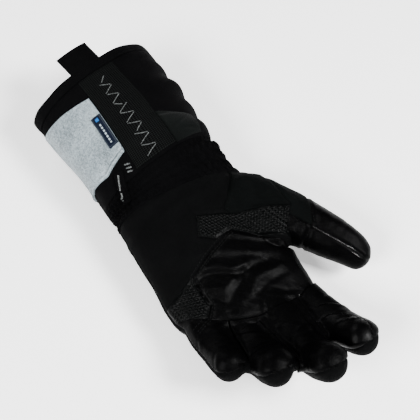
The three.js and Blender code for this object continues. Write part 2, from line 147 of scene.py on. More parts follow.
def body(along, angle, offset=0.0):
    """The skin of the cuff and hand: the cuff's ovals pass smoothly into the hand's over the wrist, and
    nothing sinks below the surface that the glove lies on."""
    along, angle, offset = np.broadcast_arrays(along * 1.0, angle * 1.0, offset * 1.0)
    cuff = oval(np.minimum(along, cuff_reach), cuff_sections, angle, offset)
    cuff[..., 0] = along
    in_hand = np.maximum(along - wrist_point[0], hand_start)
    hand = oval(in_hand, hand_sections, angle, offset)
    hand[..., 0] -= smooth(in_hand, 50, hand_length) * arch(hand[..., 1])
    share = smooth(along, *wrist_blend)[..., None]
    points = cuff * (1 - share) + from_hand(hand) * share
    points[..., 2] = np.maximum(points[..., 2], rest_height - np.minimum(offset, 0))
    return points


cuff_swells = [
    # rise, its place and width along the arm, its angle and width round it
    (1.0, 101, 6, 30, 40),
    (1.3, 116.5, 3, 32, 30),
    (1.3, 50, 9, 25, 36),
    (1.5, 91, 8, 25, 36),
    (-1.8, 131, 8, 25, 36),
    (-3.4, 110.5, 2.6, 30, 34),
]


def cuff_relief(along, angle):
    """Unevenness of the padded cuff: soft puffs along the thumb side, swells and a crease where it meets
    the wrist band, a slanting fold, and a slow wave everywhere."""
    turn = (angle + 180) % 360 - 180
    thumb_side = bell(turn, 8, 42)
    puffs = 1.3 * np.sin(along / 3.9 + np.sin(turn / 21) * 1.2) + 0.9 * np.sin(along / 8.3 + turn / 30)
    puffs *= thumb_side * smooth(along, 12, 26) * (1 - smooth(along, 92, 106))
    slow = 0.5 * np.sin(along / 19 + turn / 33) + 0.35 * np.sin(along / 9 - turn / 17)
    slow *= smooth(along, 8, 25) * (1 - thumb_side)
    swells = sum(
        rise * bell(along, place, length) * bell(turn, middle, width)
        for rise, place, length, middle, width in cuff_swells
    )
    fold = -1.5 * bell(along, 80 - (turn - 60) * 0.3, 2.4) * bell(turn, 62, 20)
    return puffs + slow + swells + fold


def mouth_swell(along, angle):
    """The cuff's mouth is pushed out a little towards the thumb side of its palm."""
    turn = (angle + 180) % 360 - 180
    return 3.1 * bell(turn, 47, 26) * (1 - smooth(along, 10, 36))


elastic_rows = (113, 120, 127, 134)


def gathers(along, angle):
    """Pleats of the elastic band: ridges along the arm whose spacing wanders, pinched by four rows of
    elastic thread."""
    wander = 1.7 * np.sin(along / 5.2 + angle / 13) + 1.1 * np.sin(along / 3.1 - angle / 7)
    pleats = np.sin(np.radians(angle) * 44 + wander) + 0.6 * np.sin(np.radians(angle) * 71 - wander)
    rows = sum(bell(along, place, 1.5) for place in elastic_rows)
    inside = smooth(along, 106, 112) * (1 - smooth(along, 136, 140))
    return inside * (0.62 * pleats * (1 - 0.7 * rows) - 0.9 * rows)


def skin(along, angle, offset=0.0):
    """The visible outside of the cuff and wrist band, with their puffs and pleats."""
    along, angle = np.broadcast_arrays(along * 1.0, angle * 1.0)
    relief = cuff_relief(along, angle) + mouth_swell(along, angle) + gathers(along, angle)
    return body(along, angle, offset + relief)


def slab(outer, inner):
    """Points and faces of a solid between two grids of points, with walls round its edge."""
    rows, columns = outer.shape[:2]
    points = np.concatenate([outer.reshape(-1, 3), inner.reshape(-1, 3)])
    below = rows * columns
    grid = np.arange(below).reshape(rows, columns)
    top = np.stack([grid[:-1, :-1], grid[:-1, 1:], grid[1:, 1:], grid[1:, :-1]], -1).reshape(-1, 4)
    edge = np.concatenate([grid[0, :-1], grid[:-1, -1], grid[-1, :0:-1], grid[:0:-1, 0]])
    after = np.roll(edge, -1)
    walls = np.stack([after, edge, edge + below, after + below], -1)
    return points, np.concatenate([top, top[:, ::-1] + below, walls])


def link_mesh(name, points, faces, weave):
    """A smooth mesh at the origin, in metres. Its weave map gives each point's place on the cloth in
    millimetres."""
    mesh = bpy.data.meshes.new(name)
    mesh.from_pydata(points / 1000 + origin, [], faces, shade_flat=False)
    corner_points = np.empty(len(mesh.loops), dtype=np.int32)
    mesh.loops.foreach_get("vertex_index", corner_points)
    layer = mesh.uv_layers.new(name="weave")
    layer.uv.foreach_set("vector", weave[corner_points].astype(np.float32).ravel())
    piece = bpy.data.objects.new(name, mesh)
    bpy.context.scene.collection.objects.link(piece)
    return piece


def make_piece(name, points, faces, weave, sharp=50):
    """A piece of triangles or quads that all face outwards, with edges sharper than an angle kept."""
    corners = points[faces]
    volume = (corners[:, 0] * np.cross(corners[:, 1], corners[:, 2])).sum()
    if faces.shape[1] == 4:
        volume += (corners[:, 0] * np.cross(corners[:, 2], corners[:, 3])).sum()
    piece = link_mesh(name, points, faces if volume > 0 else faces[:, ::-1], weave)
    piece.data.set_sharp_from_angle(angle=np.radians(sharp))
    return piece


def dress(piece, material, slot, *nodes):
    """Gives a piece its material and hides the CAD nodes that it stands for. Its slot is not used."""
    piece.data.materials.append(material)
    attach(piece, "root")
    if nodes:
        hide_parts(*nodes)
    return piece


def ring_piece(name, grid, profile):
    """A ring round the arm from a grid of points that closes on itself both ways. Its weave map is the
    profile's length one way and the way round the arm the other."""
    ring = np.arange(grid.shape[0] * grid.shape[1]).reshape(grid.shape[:2])
    down, right = np.roll(ring, -1, 0), np.roll(ring, -1, 1)
    faces = np.stack([ring, right, np.roll(down, -1, 1), down], -1)
    u, v = np.meshgrid(profile, np.radians(around) * cuff_radius, indexing="ij")
    weave = np.stack([u.ravel(), v.ravel()], -1)
    return make_piece(name, grid.reshape(-1, 3), faces.reshape(-1, 4), weave)


class Shade:
    """A socket in a material's nodes. Its sums, differences and products add Math nodes."""

    def __init__(self, tree, socket=None):
        self.tree = tree
        self.socket = socket

    def node(self, kind, settings=None, sockets=None, output=0):
        """Adds a node. Settings come first, then the values or links of its sockets, by name or number."""
        made = self.tree.nodes.new("ShaderNode" + kind)
        for name, value in (settings or {}).items():
            setattr(made, name, value)
        for name, value in (sockets or {}).items():
            if isinstance(value, Shade):
                self.tree.links.new(value.socket, made.inputs[name])
            else:
                made.inputs[name].default_value = value
        return Shade(self.tree, made.outputs[output] if len(made.outputs) else None)

    def maths(self, operation, *values, clamp=False):
        """One Math node."""
        settings = {"operation": operation, "use_clamp": clamp}
        return self.node("Math", settings, dict(enumerate(values)))

    def __add__(self, other):
        return self.maths("ADD", self, other)

    __radd__ = __add__

    def __sub__(self, other):
        return self.maths("SUBTRACT", self, other)

    def __rsub__(self, other):
        return self.maths("SUBTRACT", other, self)

    def __mul__(self, other):
        return self.maths("MULTIPLY", self, other)

    def wave(self, period):
        """A sine of this value that repeats after period, from -1 to 1."""
        return self.maths("SINE", self * (2 * np.pi / period))

    def ramp(self, low, high):
        """Rises from 0 at low to 1 at high, smoothly."""
        settings = {"interpolation_type": "SMOOTHSTEP"}
        return self.node("MapRange", settings, {0: self, 1: low, 2: high})

    def mix(self, first, second):
        """A colour between two, by this value."""
        return self.node("Mix", {"data_type": "RGBA"}, {0: self, 6: first, 7: second}, output=2)


def new_material(name):
    """An empty material, and what its nodes are added through."""
    material = bpy.data.materials.new(name)
    material.use_nodes = True
    material.node_tree.nodes.clear()
    return material, Shade(material.node_tree)


def weave_places(start):
    """The two coordinates of a piece's weave map, in millimetres."""
    place = start.node("UVMap", {"uv_map": "weave"})
    return [start.node("SeparateXYZ", sockets={0: place}, output=k) for k in (0, 1)]


def speckle(start, scale, detail=2.0, roughness=0.5):
    """Noise on the object's own coordinates, with this many spots to the metre, from 0 to 1."""
    place = start.node("TexCoord", output="Object")
    sockets = {"Vector": place, "Scale": scale, "Detail": detail, "Roughness": roughness}
    return start.node("TexNoise", sockets=sockets)


def surface(start, colour, roughness, height, depth, **fixed):
    """Closes a material: colour, roughness and a height that stands depth metres proud feed the shader,
    and fixed numbers are set on its own sockets."""
    normal = start.node("Bump", sockets={"Strength": 1.0, "Distance": depth, "Height": height})
    sockets = {"Base Color": colour, "Roughness": roughness, "Normal": normal}
    sockets.update({name.replace("_", " "): value for name, value in fixed.items()})
    shader = start.node("BsdfPrincipled", sockets=sockets)
    start.node("OutputMaterial", sockets={"Surface": shader})


def woven(name, dark, light, pitch, depth, roughness=0.75, slant=False, sheen=0.0, grid=0.28):
    """Cloth of warp and weft threads a pitch apart, in millimetres, straight or on a slant, with fibres
    that catch the light unevenly. Grid is how strongly the threads show in its colour."""
    material, start = new_material(name)
    u, v = weave_places(start)
    if slant:
        u, v = u + v, u - v
    threads = u.wave(pitch) * v.wave(pitch)
    fuzz = speckle(start, 2600, 3)
    blotch = speckle(start, 45, 2)
    height = threads * 0.5 + fuzz
    tone = (threads * grid + fuzz * 0.5 + blotch * 0.5).ramp(0.1, 0.95)
    rough = roughness + blotch * 0.14 - 0.07
    surface(start, tone.mix(dark, light), rough, height, depth, Specular_IOR_Level=0.015,
            Sheen_Weight=sheen, Sheen_Roughness=0.5)
    return material


# Cuff hem and pull tab.
# The opening is bound with black webbing folded over its edge. On the palm side a doubled loop of the
# same webbing, 31 mm wide, stands 20 mm out of it to pull the glove on by.
hem_length, hem_centre, hem_half_length = 9.0, 4.4, 4.9
hem_depth, hem_half_thickness, hem_radius = -1.7, 1.85, 4.6
tab_reach, tab_root, tab_thickness = 20.6, 3.0, 1.1
tab_depth, tab_loop_radius, tab_steps = -1.5, 0.8, 22
tab_middle, mm_per_degree = 94, 1.05
around = np.linspace(0, 360, 241)[:-1]
webbing = woven("webbing", (0.0005, 0.0005, 0.0006, 1), (0.0019, 0.0019, 0.0021, 1), 1.5, 0.00025)


def hem_points(turn):
    """The binding's skin: a squared oval over the cuff's edge, with a stitched dip near its lower edge
    and a slight wave round it. On the little finger's side it reaches a little further out."""
    across, upward = np.cos(turn), np.sin(turn)
    along = hem_centre + hem_half_length * np.sign(across) * np.abs(across) ** 0.5
    offset = hem_depth + hem_half_thickness * np.sign(upward) * np.abs(upward) ** 0.5
    offset -= 0.25 * (offset > 0) * bell(along, 6.6, 0.9)
    wave = 0.35 * np.sin(np.radians(around) * 7) + 0.3 * np.sin(np.radians(around) * 12 + 1)
    offset, along = offset[:, None] + wave, along[:, None]
    along = along - 2.2 * bell(around, 178, 40) * np.clip((5 - along) / 5, 0, 1)
    return body(along, around, offset + mouth_swell(along, around))


hem_turns = np.linspace(0, 2 * np.pi, 41)[:-1]
hem = ring_piece("hem_binding", hem_points(hem_turns), hem_turns * hem_radius)
dress(hem, webbing, "webbing", "cuff_hem")

tab_leg = np.linspace(tab_root, -tab_reach, tab_steps)
tab_bend = np.radians(np.linspace(90, 270, 9))
tab_along = np.concatenate([tab_leg, tab_loop_radius * np.cos(tab_bend) - tab_reach, tab_leg[::-1]])
tab_rise = np.concatenate([np.ones(tab_steps), np.sin(tab_bend), -np.ones(tab_steps)])
tab_offset = tab_depth + tab_loop_radius * tab_rise
tab_normal = np.stack([-np.gradient(tab_offset), np.gradient(tab_along)], -1)
tab_normal /= np.linalg.norm(tab_normal, axis=1)[:, None] + 1e-9
tab_angles = np.linspace(78.6, 109, 30)
tab_sides = [
    body(
        (tab_along + side * tab_thickness / 2 * tab_normal[:, 0])[:, None],
        tab_angles,
        (tab_offset + side * tab_thickness / 2 * tab_normal[:, 1])[:, None],
    )
    for side in (-1, 1)
]
tab_rows = np.arange(len(tab_along))
tab_weave = np.stack(np.meshgrid(tab_rows, (tab_angles - tab_middle) * mm_per_degree, indexing="ij"), -1)
tab_points, tab_faces = slab(*tab_sides)
tab = make_piece("pull_tab_loop", tab_points, tab_faces, np.tile(tab_weave.reshape(-1, 2), (2, 1)))
dress(tab, webbing, "webbing", "pull_tab")


# Gauntlet cuff.
# The padded tube of black nylon between the hem and the wrist band. Its thumb side is loose and puffs
# out in soft rolls, and its end is pinched where it is sewn to the band.
nylon = woven("padded_nylon", (0.0005, 0.0005, 0.0006, 1), (0.0018, 0.0018, 0.002, 1), 1.1, 0.00018, 0.8)
cuff_wall = 3.0


def tube_between(start, end, name, material, *nodes):
    """A closed wall of the cuff from start to end, its outside puffed and pleated, its inside smooth and
    its two edges rounded over."""
    outside = np.linspace(start, end, int((end - start) / 1.4))
    inside = np.linspace(end, start, int((end - start) / 5))
    edge = np.minimum(outside - start, end - outside)
    drop = -1.2 * np.clip(1 - edge / 1.5, 0, 1) ** 2
    outer = skin(outside[:, None], around, drop[:, None])
    inner = body(inside[:, None], around, -cuff_wall)
    profile = np.concatenate([outside, 2 * end - inside])
    piece = ring_piece(name, np.concatenate([outer, inner]), profile)
    return dress(piece, material, "cuff_shell", *nodes)


cuff = tube_between(hem_length, 108.0, "gauntlet_shell", nylon, "gauntlet_cuff")


# Wrist band.
# The band over the wrist is gathered on rows of elastic, so its cloth stands in pleats along the arm.
band_cloth = woven("gathered_nylon", (0.0004, 0.0004, 0.0005, 1), (0.0018, 0.0018, 0.002, 1), 0.9,
                   0.0003, 0.8)
band_start, band_end = 107.6, 140.2
band = tube_between(band_start, band_end, "gathered_band", band_cloth, "wrist_band")


# Patches on the cuff.
# A silver reflective panel with a folded edge, a strip of ripstop along the palm side with a printed
# zigzag, a soft stretch panel beside it, a navy woven tag, and a strap across the wrist band. Each place
# is one along the arm and an angle round it.
degree_width = 0.9


def cloth_patch(low_edge, high_edge, angles, name, material, slot, nodes, rise, relief=None, steps=70):
    """A patch on the cuff between two edges, each a place along for every angle. It lies on the cuff's
    skin, thick by rise, with rounded borders, and relief raises it further."""
    share = np.linspace(0, 1, steps)
    start = np.interp(angles, *np.array(low_edge).T)
    end = np.interp(angles, *np.array(high_edge).T)
    along = start + share[:, None] * (end - start)
    angle = np.broadcast_to(angles, along.shape)
    side = np.minimum(angle - angles[0], angles[-1] - angle) * degree_width
    border = np.minimum(np.minimum(along - start, end - along), side)
    height = rise * (1 - 0.75 * np.clip(1 - border, 0, 1) ** 2)
    if relief is not None:
        height = height + relief(along, angle, start, end)
    outer = skin(along, angle, height)
    inner = skin(along, angle, -0.6)
    points, faces = slab(outer, inner)
    weave = np.tile(np.stack([along.ravel(), np.radians(angle.ravel()) * cuff_radius], -1), (2, 1))
    piece = make_piece(name, points, faces, weave)
    return dress(piece, material, slot, *nodes)


def silver_cloth():
    """Grey cloth coated with glass beads: a fine pale sparkle that is never quite even."""
    material, start = new_material("reflective_cloth")
    beads = speckle(start, 1500, 2, 0.7)
    grains = speckle(start, 520, 3, 0.6)
    blotch = speckle(start, 30, 2)
    tone = (beads * 0.7 + grains * 0.6 + blotch * 0.45).ramp(0.55, 1.15)
    colour = tone.mix((0.022, 0.033, 0.039, 1), (0.26, 0.315, 0.34, 1))
    surface(start, colour, 0.42 + beads * 0.25, beads + grains, 0.0001, Specular_IOR_Level=0.5)
    return material


def folded_edge(along, angle, start, end):
    """The panel's far edge is turned under and piped: a bead at the edge, then a stitched groove."""
    from_end = end - along
    turned_edge = 0.9 * bell(from_end, 1.3, 1.1) - 0.95 * bell(from_end, 3.5, 0.7)
    return turned_edge - 0.3 * bell(along - start, 2.6, 0.7)


panel_low = [(109.2, 28.5), (140, 22), (174, 16), (206, 12)]
panel_high = [(109.2, 86.0), (110, 87.5), (136.5, 93.6), (138.5, 93.4), (168, 88.5), (206, 87)]
panel_angles = np.concatenate([[109.2, 109.7], np.linspace(110.3, 205, 94), [205.5, 206]])
cloth_patch(panel_low, panel_high, panel_angles, "silver_panel", silver_cloth(), "reflective_cloth",
            ["reflective_panel"], 1.25, folded_edge, 90)

ripstop = woven("ripstop", (0.0003, 0.0003, 0.0003, 1), (0.0038, 0.0043, 0.0042, 1), 3.1, 0.0004, 0.6,
                slant=True, grid=1.1)
strip_angles = np.linspace(73.6, 108.4, 34)
cloth_patch([(73, 11), (109, 11)], [(73, 105.5), (109, 105.5)], strip_angles, "ripstop_strip", ripstop,
            "webbing", ["print_strip"], 0.9)

stretch = woven("brushed_stretch", (0.0007, 0.001, 0.0009, 1), (0.0033, 0.0041, 0.0039, 1), 1.3, 0.0003,
                0.9, sheen=0.02)


def stretch_swell(along, angle, start, end):
    """Soft padding: it swells in the middle and is drawn in at two wandering wrinkles."""
    share = (along - start) / (end - start)
    swell = 1.9 * np.sin(np.pi * share) * np.sin(np.pi * np.clip((angle - 38) / 38, 0, 1))
    wrinkles = bell(along, 92 + 0.25 * (angle - 58), 1.6) + bell(along, 100 - 0.2 * (angle - 58), 1.3)
    return swell - 0.5 * wrinkles * bell(angle, 56, 12)


stretch_angles = np.linspace(39, 73.2, 38)
cloth_patch([(39, 86), (50, 82.5), (73.2, 73)], [(39, 106), (73.2, 106)], stretch_angles, "stretch_insert",
            stretch, "stretch_cloth", ["stretch_panel"], 0.9, stretch_swell, 40)


def tag_cloth(low, high):
    """Navy satin weave with a faint frame, a blue square and a row of white dashes, on the weave map."""
    material, start = new_material("woven_tag")
    u, v = weave_places(start)
    u_edge = start.maths("MINIMUM", u - low[0], high[0] - u)
    v_edge = start.maths("MINIMUM", v - low[1], high[1] - v)
    edge = start.maths("MINIMUM", u_edge, v_edge)
    frame_line = edge.ramp(0.9, 1.1) * (1 - edge.ramp(1.2, 1.4))
    mark = v_edge.ramp(2.9, 3.1) * (u - low[0]).ramp(3.0, 3.2) * (low[0] + 6.4 - u).ramp(0.0, 0.2)
    dashes = v_edge.ramp(3.6, 3.8) * (u - low[0]).ramp(9.0, 9.2) * u_edge.ramp(3.4, 3.6)
    bar = dashes * u.wave(3.1).ramp(-0.5, -0.3)
    threads = u.wave(0.5) * v.wave(0.5)
    pale = start.maths("ADD", frame_line * 0.1, bar, clamp=True)
    ground = pale.mix((0.0006, 0.0028, 0.0105, 1), (0.36, 0.42, 0.46, 1))
    colour = mark.mix(ground, (0.012, 0.095, 0.3, 1))
    surface(start, colour, 0.55 + threads * 0.06, threads + speckle(start, 2500), 0.00012,
            Specular_IOR_Level=0.08)
    return material


def tag_lift(along, angle, start, end):
    """The tag stands off the panel a little more towards its free edge."""
    return 0.05 * (angle - 110)


tag_from, tag_to = 46.0, 79.0
tag_angles = np.linspace(109.4, 119, 16)
tag_low = tag_from, np.radians(tag_angles[0]) * cuff_radius
tag_high = tag_to, np.radians(tag_angles[-1]) * cuff_radius
cloth_patch([(109, tag_from), (120, tag_from)], [(109, tag_to), (120, tag_to)], tag_angles, "blue_tag",
            tag_cloth(tag_low, tag_high), "woven_label", ["woven_tag"], 2.1, tag_lift, 40)


strap_near = np.array([(98, 119), (96, 130)])
strap_far = np.array([(127, 134), (124, 144)])
share, across = np.meshgrid(np.linspace(0, 1, 30), np.linspace(0, 1, 14), indexing="ij")
low, high = (near + (far - near) * share[..., None] for near, far in zip(strap_near, strap_far))
strap_along, strap_angle = np.moveaxis(low + (high - low) * across[..., None], -1, 0)
strap_edge = np.minimum(np.minimum(share, 1 - share) * 30, np.minimum(across, 1 - across) * 12)
strap_rise = 1.5 - 0.6 * np.clip(1 - strap_edge, 0, 1) ** 2
strap_points, strap_faces = slab(
    skin(strap_along, strap_angle, strap_rise), body(strap_along, strap_angle, -0.3)
)
strap_weave = np.tile(np.stack([share.ravel() * 31, across.ravel() * 12], -1), (2, 1))
strap = make_piece("wrist_strap_web", strap_points, strap_faces, strap_weave)
dress(strap, webbing, "webbing", "wrist_strap")


# Printed marks.
# Pale rubbery ink: a broken zigzag down the ripstop strip, three slashes beside the strap and a bar along
# it. They are plain shapes that carry no words.
def pale_ink():
    """Worn light grey ink, cracked by the weave below it."""
    material, start = new_material("pale_ink")
    wear = speckle(start, 900, 4, 0.7)
    colour = wear.ramp(0.4, 0.62).mix((0.006, 0.007, 0.007, 1), (0.075, 0.082, 0.08, 1))
    surface(start, colour, 0.5 + wear * 0.2, wear, 0.00012, Specular_IOR_Level=0.4)
    return material


ink = pale_ink()


def print_line(places, width, rise, name):
    """Flat strokes of ink: each stroke is a ribbon between two places on the cuff, along and angle."""
    points, faces, weave = [], [], []
    for (along_a, angle_a), (along_b, angle_b) in places:
        share = np.linspace(0, 1, 9)[:, None]
        across = np.array([-1, 0, 1]) * width / 2
        length = np.hypot(along_b - along_a, angle_b - angle_a)
        along = along_a + (along_b - along_a) * share - across * (angle_b - angle_a) / length
        angle = angle_a + (angle_b - angle_a) * share + across * (along_b - along_a) / length
        stroke, stroke_faces = slab(skin(along, angle, rise + 0.12), skin(along, angle, rise - 0.3))
        faces.append(stroke_faces + sum(len(p) for p in points))
        points.append(stroke)
        weave.append(np.tile(np.stack([along.ravel(), angle.ravel()], -1), (2, 1)))
    piece = make_piece(name, np.concatenate(points), np.concatenate(faces), np.concatenate(weave))
    return dress(piece, ink, "webbing")


zigzag = []
for number, start in enumerate(np.arange(19, 100, 5.6)):
    low, high = (88.0, 95.6) if number % 2 == 0 else (95.6, 88.0)
    far = high if number % 5 else (low + 2 * high) / 3
    zigzag.append(((start + 0.5, low), (start + 5.1, far)))
print_line(zigzag, 0.6, 0.9, "zigzag_print")
print_line([((98, 111), (96, 116)), ((101, 111.5), (99, 116.5)), ((104, 112), (102, 117))], 1.1, 0.1,
           "slash_print")
print_line([((99.5, 126), (119.5, 140.5))], 1.7, 1.55, "strap_print")


# Hand form.
# The hand, its four curled fingers and the thumb are one padded bag. It is laid up from closed tubes,
# joined on a fine grid, and puffed by a light pressure, before it is cut into its panels.
Digit = namedtuple("Digit", "root heading twist bends lengths radii")
digits = {
    # where it starts, which way it points and how it is turned; the bend and length of each bone; the
    # radii at its root, joints and tip
    "index": Digit((98.5, 39.7, -11.7), 8.8, 0, (21, 20, 17), (53, 30.5, 23.8), (14.5, 14.5, 14.2, 13.2)),
    "middle": Digit((103, 11.4, -2.3), 2.4, 0, (13.5, 41, 8), (57, 34.5, 22.4), (14.5, 14.5, 14.8, 14.2)),
    "ring": Digit((94.5, -15.6, -13), -2.9, 0, (24, 27, 8.5), (52.5, 32, 21.2), (14.5, 14.4, 14.6, 13.9)),
    "little": Digit((82, -42.4, -4.2), -2.7, 0, (8, 23, 13), (42, 26, 18.6), (13.5, 13.8, 13.4, 12.4)),
    "thumb": Digit((26, 39.2, 11), 33.5, 113, (0, -4, -18), (43, 40, 35.5), (20, 20, 16.6, 10.8)),
}


def spine(name):
    """Walks along a digit in strides of 1 mm. Each bone turns it evenly towards the palm by its bend.
    Gives the distances, centres, and the directions to its side and to its palm."""
    digit = digits[name]
    starts = np.cumsum([0, *digit.lengths])[:-1]
    before, after = 25, 16
    distance = np.arange(-float(before), sum(digit.lengths) + after)

    def bend_at(place):
        share = np.clip((place[:, None] - starts) / digit.lengths, 0, 1)
        return np.radians(share @ np.array(digit.bends, dtype=float))

    stride = bend_at(distance[:-1] + 0.5)
    forward = np.concatenate([[0], np.cumsum(np.cos(stride))])
    upward = np.concatenate([[0], np.cumsum(np.sin(stride))])
    forward -= forward[before]
    upward -= upward[before]
    heading, twist = np.radians([digit.heading, digit.twist])
    level = np.array([np.cos(heading), np.sin(heading), 0])
    across = np.array([-np.sin(heading), np.cos(heading), 0])
    upright = np.array([0, 0, 1])
    bend = bend_at(distance)[:, None]
    centre = digit.root + forward[:, None] * level + upward[:, None] * upright
    lift = np.cos(bend) * upright - np.sin(bend) * level
    side = np.cos(twist) * across + np.sin(twist) * lift
    palm = np.cos(twist) * lift - np.sin(twist) * across
    return distance, centre, side, palm


tip_blunting = 1.4


def column_reader(places, distance):
    """Reads columns of values at places between distances."""
    return lambda values: np.stack([np.interp(places, distance, column) for column in values.T], -1)


def digit_radius(name, distance):
    """The digit's radius: it tapers between its joints, with a half round at its root and its tip."""
    lengths, radii = digits[name].lengths, digits[name].radii
    joints = np.cumsum([0, *lengths])
    dome = joints[-1] - radii[-1]
    straight = np.interp(np.minimum(distance, dome), joints, radii)
    power = 2.0 if name == "thumb" else 2.6
    reach = np.clip((distance - dome) / (radii[-1] - tip_blunting), 0, 1)
    back = np.clip(-distance / radii[0], 0, 1)
    return straight * (1 - reach**power) ** 0.5 * np.sqrt(1 - back**2)


def digit_tube(name, offset):
    """The digit as loops of points, in the hand's axes, moved outwards by offset."""
    lengths, radii = digits[name].lengths, digits[name].radii
    dome = sum(lengths) - radii[-1]
    swing = np.radians(np.linspace(0, 88, 9))
    places = np.concatenate([
        -radii[0] * np.sin(swing[:0:-1]),
        np.linspace(0, dome, 40),
        dome + (radii[-1] - tip_blunting) * np.sin(swing[1:]),
    ])
    distance, *directions = spine(name)
    read = column_reader(places, distance)
    centre, side, palm = (read(values)[:, None] for values in directions)
    turn = np.linspace(0, 2 * np.pi, 41)[:-1, None]
    radius = digit_radius(name, places)[:, None, None] + offset
    return centre + radius * (side * np.cos(turn) + palm * np.sin(turn))


def web_tube(first, second, reach):
    """Padding in the groove between two fingers: a tube midway between them, near their palm side at
    the root, that sinks and thins towards its end."""
    places = np.linspace(-12, reach, 24)
    share = np.clip(places / reach, 0, 1)[:, None]
    total = 0
    for name in (first, second):
        distance, *directions = spine(name)
        read = column_reader(places, distance)
        total = total + np.stack([read(values) for values in directions]) / 2
    centre, side, palm = total
    lift, half_width, half_height = 2.4 - 2.4 * share, 7.4, 10.8 - 2.2 * share
    taper = ((1 - share**6) ** 0.5 + 0.03)[:, None]
    turn = np.linspace(0, 2 * np.pi, 25)[:-1, None]
    across_it = side[:, None] * np.cos(turn) * half_width
    upright = palm[:, None] * np.sin(turn) * half_height[:, None]
    return (centre + palm * lift)[:, None] + taper * (across_it + upright)


def straight_tube(start, end, radius):
    """Padding in the valley where the thumb leaves the palm: a round-ended tube between two places."""
    share = np.linspace(0, 1, 16)[:, None]
    ahead = np.subtract(end, start) / np.linalg.norm(np.subtract(end, start))
    across = np.cross(ahead, (0, 0, 1))
    centre = np.array(start) + share * np.subtract(end, start)
    size = radius * ((1 - (2 * share - 1) ** 6) ** 0.5 + 0.03)[:, None]
    turn = np.linspace(0, 2 * np.pi, 25)[:-1, None]
    return centre[:, None] + size * (across * np.cos(turn) + np.cross(across, ahead) * np.sin(turn))


def palm_bag(offset):
    """The hand as loops of points, from inside the wrist band, rounded over at the knuckles."""
    swing = np.radians(np.linspace(0, 80, 6))[1:]
    start, rounding, rows = 132, 6, 50
    end = wrist_point[0] + hand_length - rounding
    along = np.concatenate([np.linspace(start, end, rows), end + rounding * np.sin(swing)])
    inward = np.concatenate([np.zeros(rows), rounding * (1 - np.cos(swing))])
    turn = np.linspace(0, 360, 97)[:-1]
    return to_hand(body(along[:, None], turn, offset - inward[:, None]))


def closed_tube(loops):
    """Points and faces of a tube of loops, with one face over each end."""
    rows, columns = loops.shape[:2]
    ring = np.arange(rows * columns).reshape(rows, columns)
    right = np.roll(ring, -1, 1)
    faces = np.stack([ring[:-1], right[:-1], right[1:], ring[1:]], -1).reshape(-1, 4).tolist()
    return loops.reshape(-1, 3), faces + [ring[0, ::-1].tolist(), ring[-1].tolist()]


def evaluated(piece):
    """The piece's mesh with its modifiers applied."""
    depsgraph = bpy.context.evaluated_depsgraph_get()
    return bpy.data.meshes.new_from_object(piece.evaluated_get(depsgraph))


def mesh_points(mesh):
    """The mesh's points in the hand's axes, in millimetres."""
    flat = np.empty(len(mesh.vertices) * 3)
    mesh.vertices.foreach_get("co", flat)
    return to_hand((flat.reshape(-1, 3) - origin) * 1000)


def joined(piece, voxel, smoothing):
    """The piece remade as one closed skin on a grid of voxels, then evened out."""
    grid = piece.modifiers.new("join", "REMESH")
    grid.mode = "VOXEL"
    grid.voxel_size = voxel
    even = piece.modifiers.new("even", "SMOOTH")
    even.factor = 0.5
    even.iterations = smoothing
    mesh = evaluated(piece)
    piece.modifiers.clear()
    piece.data = mesh


bag_points, bag_faces = [], []
webs = [
    web_tube("index", "middle", 74),
    web_tube("middle", "ring", 95),
    web_tube("ring", "little", 87),
    straight_tube((38, 27, 12.5), (80, 52, 8.5), 11.5),
]
before_puffing = -0.5
tubes = [palm_bag(before_puffing)] + [digit_tube(name, before_puffing) for name in digits] + webs
for loops in tubes:
    tube_points, tube_faces = closed_tube(loops)
    count = sum(len(points) for points in bag_points)
    bag_faces += [[corner + count for corner in face] for face in tube_faces]
    bag_points.append(from_hand(tube_points))
bag_mesh = bpy.data.meshes.new("hand_bag")
bag_mesh.from_pydata(np.concatenate(bag_points) / 1000 + origin, [], bag_faces)
bag = bpy.data.objects.new("hand_bag", bag_mesh)
bpy.context.scene.collection.objects.link(bag)

puffing_steps, most_puffing = 12, 1.6
joined(bag, voxel=0.0024, smoothing=3)
before = mesh_points(bag.data)
padding = bag.modifiers.new("padding", "CLOTH")
padding.settings.quality = 4
padding.settings.mass = 0.3
padding.settings.tension_stiffness = 12
padding.settings.compression_stiffness = 12
padding.settings.shear_stiffness = 4
padding.settings.bending_stiffness = 0.4
padding.settings.use_pressure = True
padding.settings.uniform_pressure_force = 4
padding.settings.effector_weights.gravity = 0
for step in range(1, puffing_steps + 1):
    bpy.context.scene.frame_set(step)
puffed = mesh_points(evaluated(bag))
bag.modifiers.clear()
bpy.context.scene.frame_set(1)
moved = puffed - before
far = np.linalg.norm(moved, axis=1)[:, None]
moved *= np.minimum(1, most_puffing / np.maximum(far, 1e-6))
flat = from_hand(before + moved) / 1000 + origin
bag.data.vertices.foreach_set("co", flat.ravel())
joined(bag, voxel=0.00115, smoothing=7)
bag.data.calc_loop_triangles()
bag_triangles = np.empty(len(bag.data.loop_triangles) * 3, dtype=np.int32)
bag.data.loop_triangles.foreach_get("vertices", bag_triangles)
bag_triangles = bag_triangles.reshape(-1, 3)
bag_skin = mesh_points(bag.data)
bpy.data.objects.remove(bag)


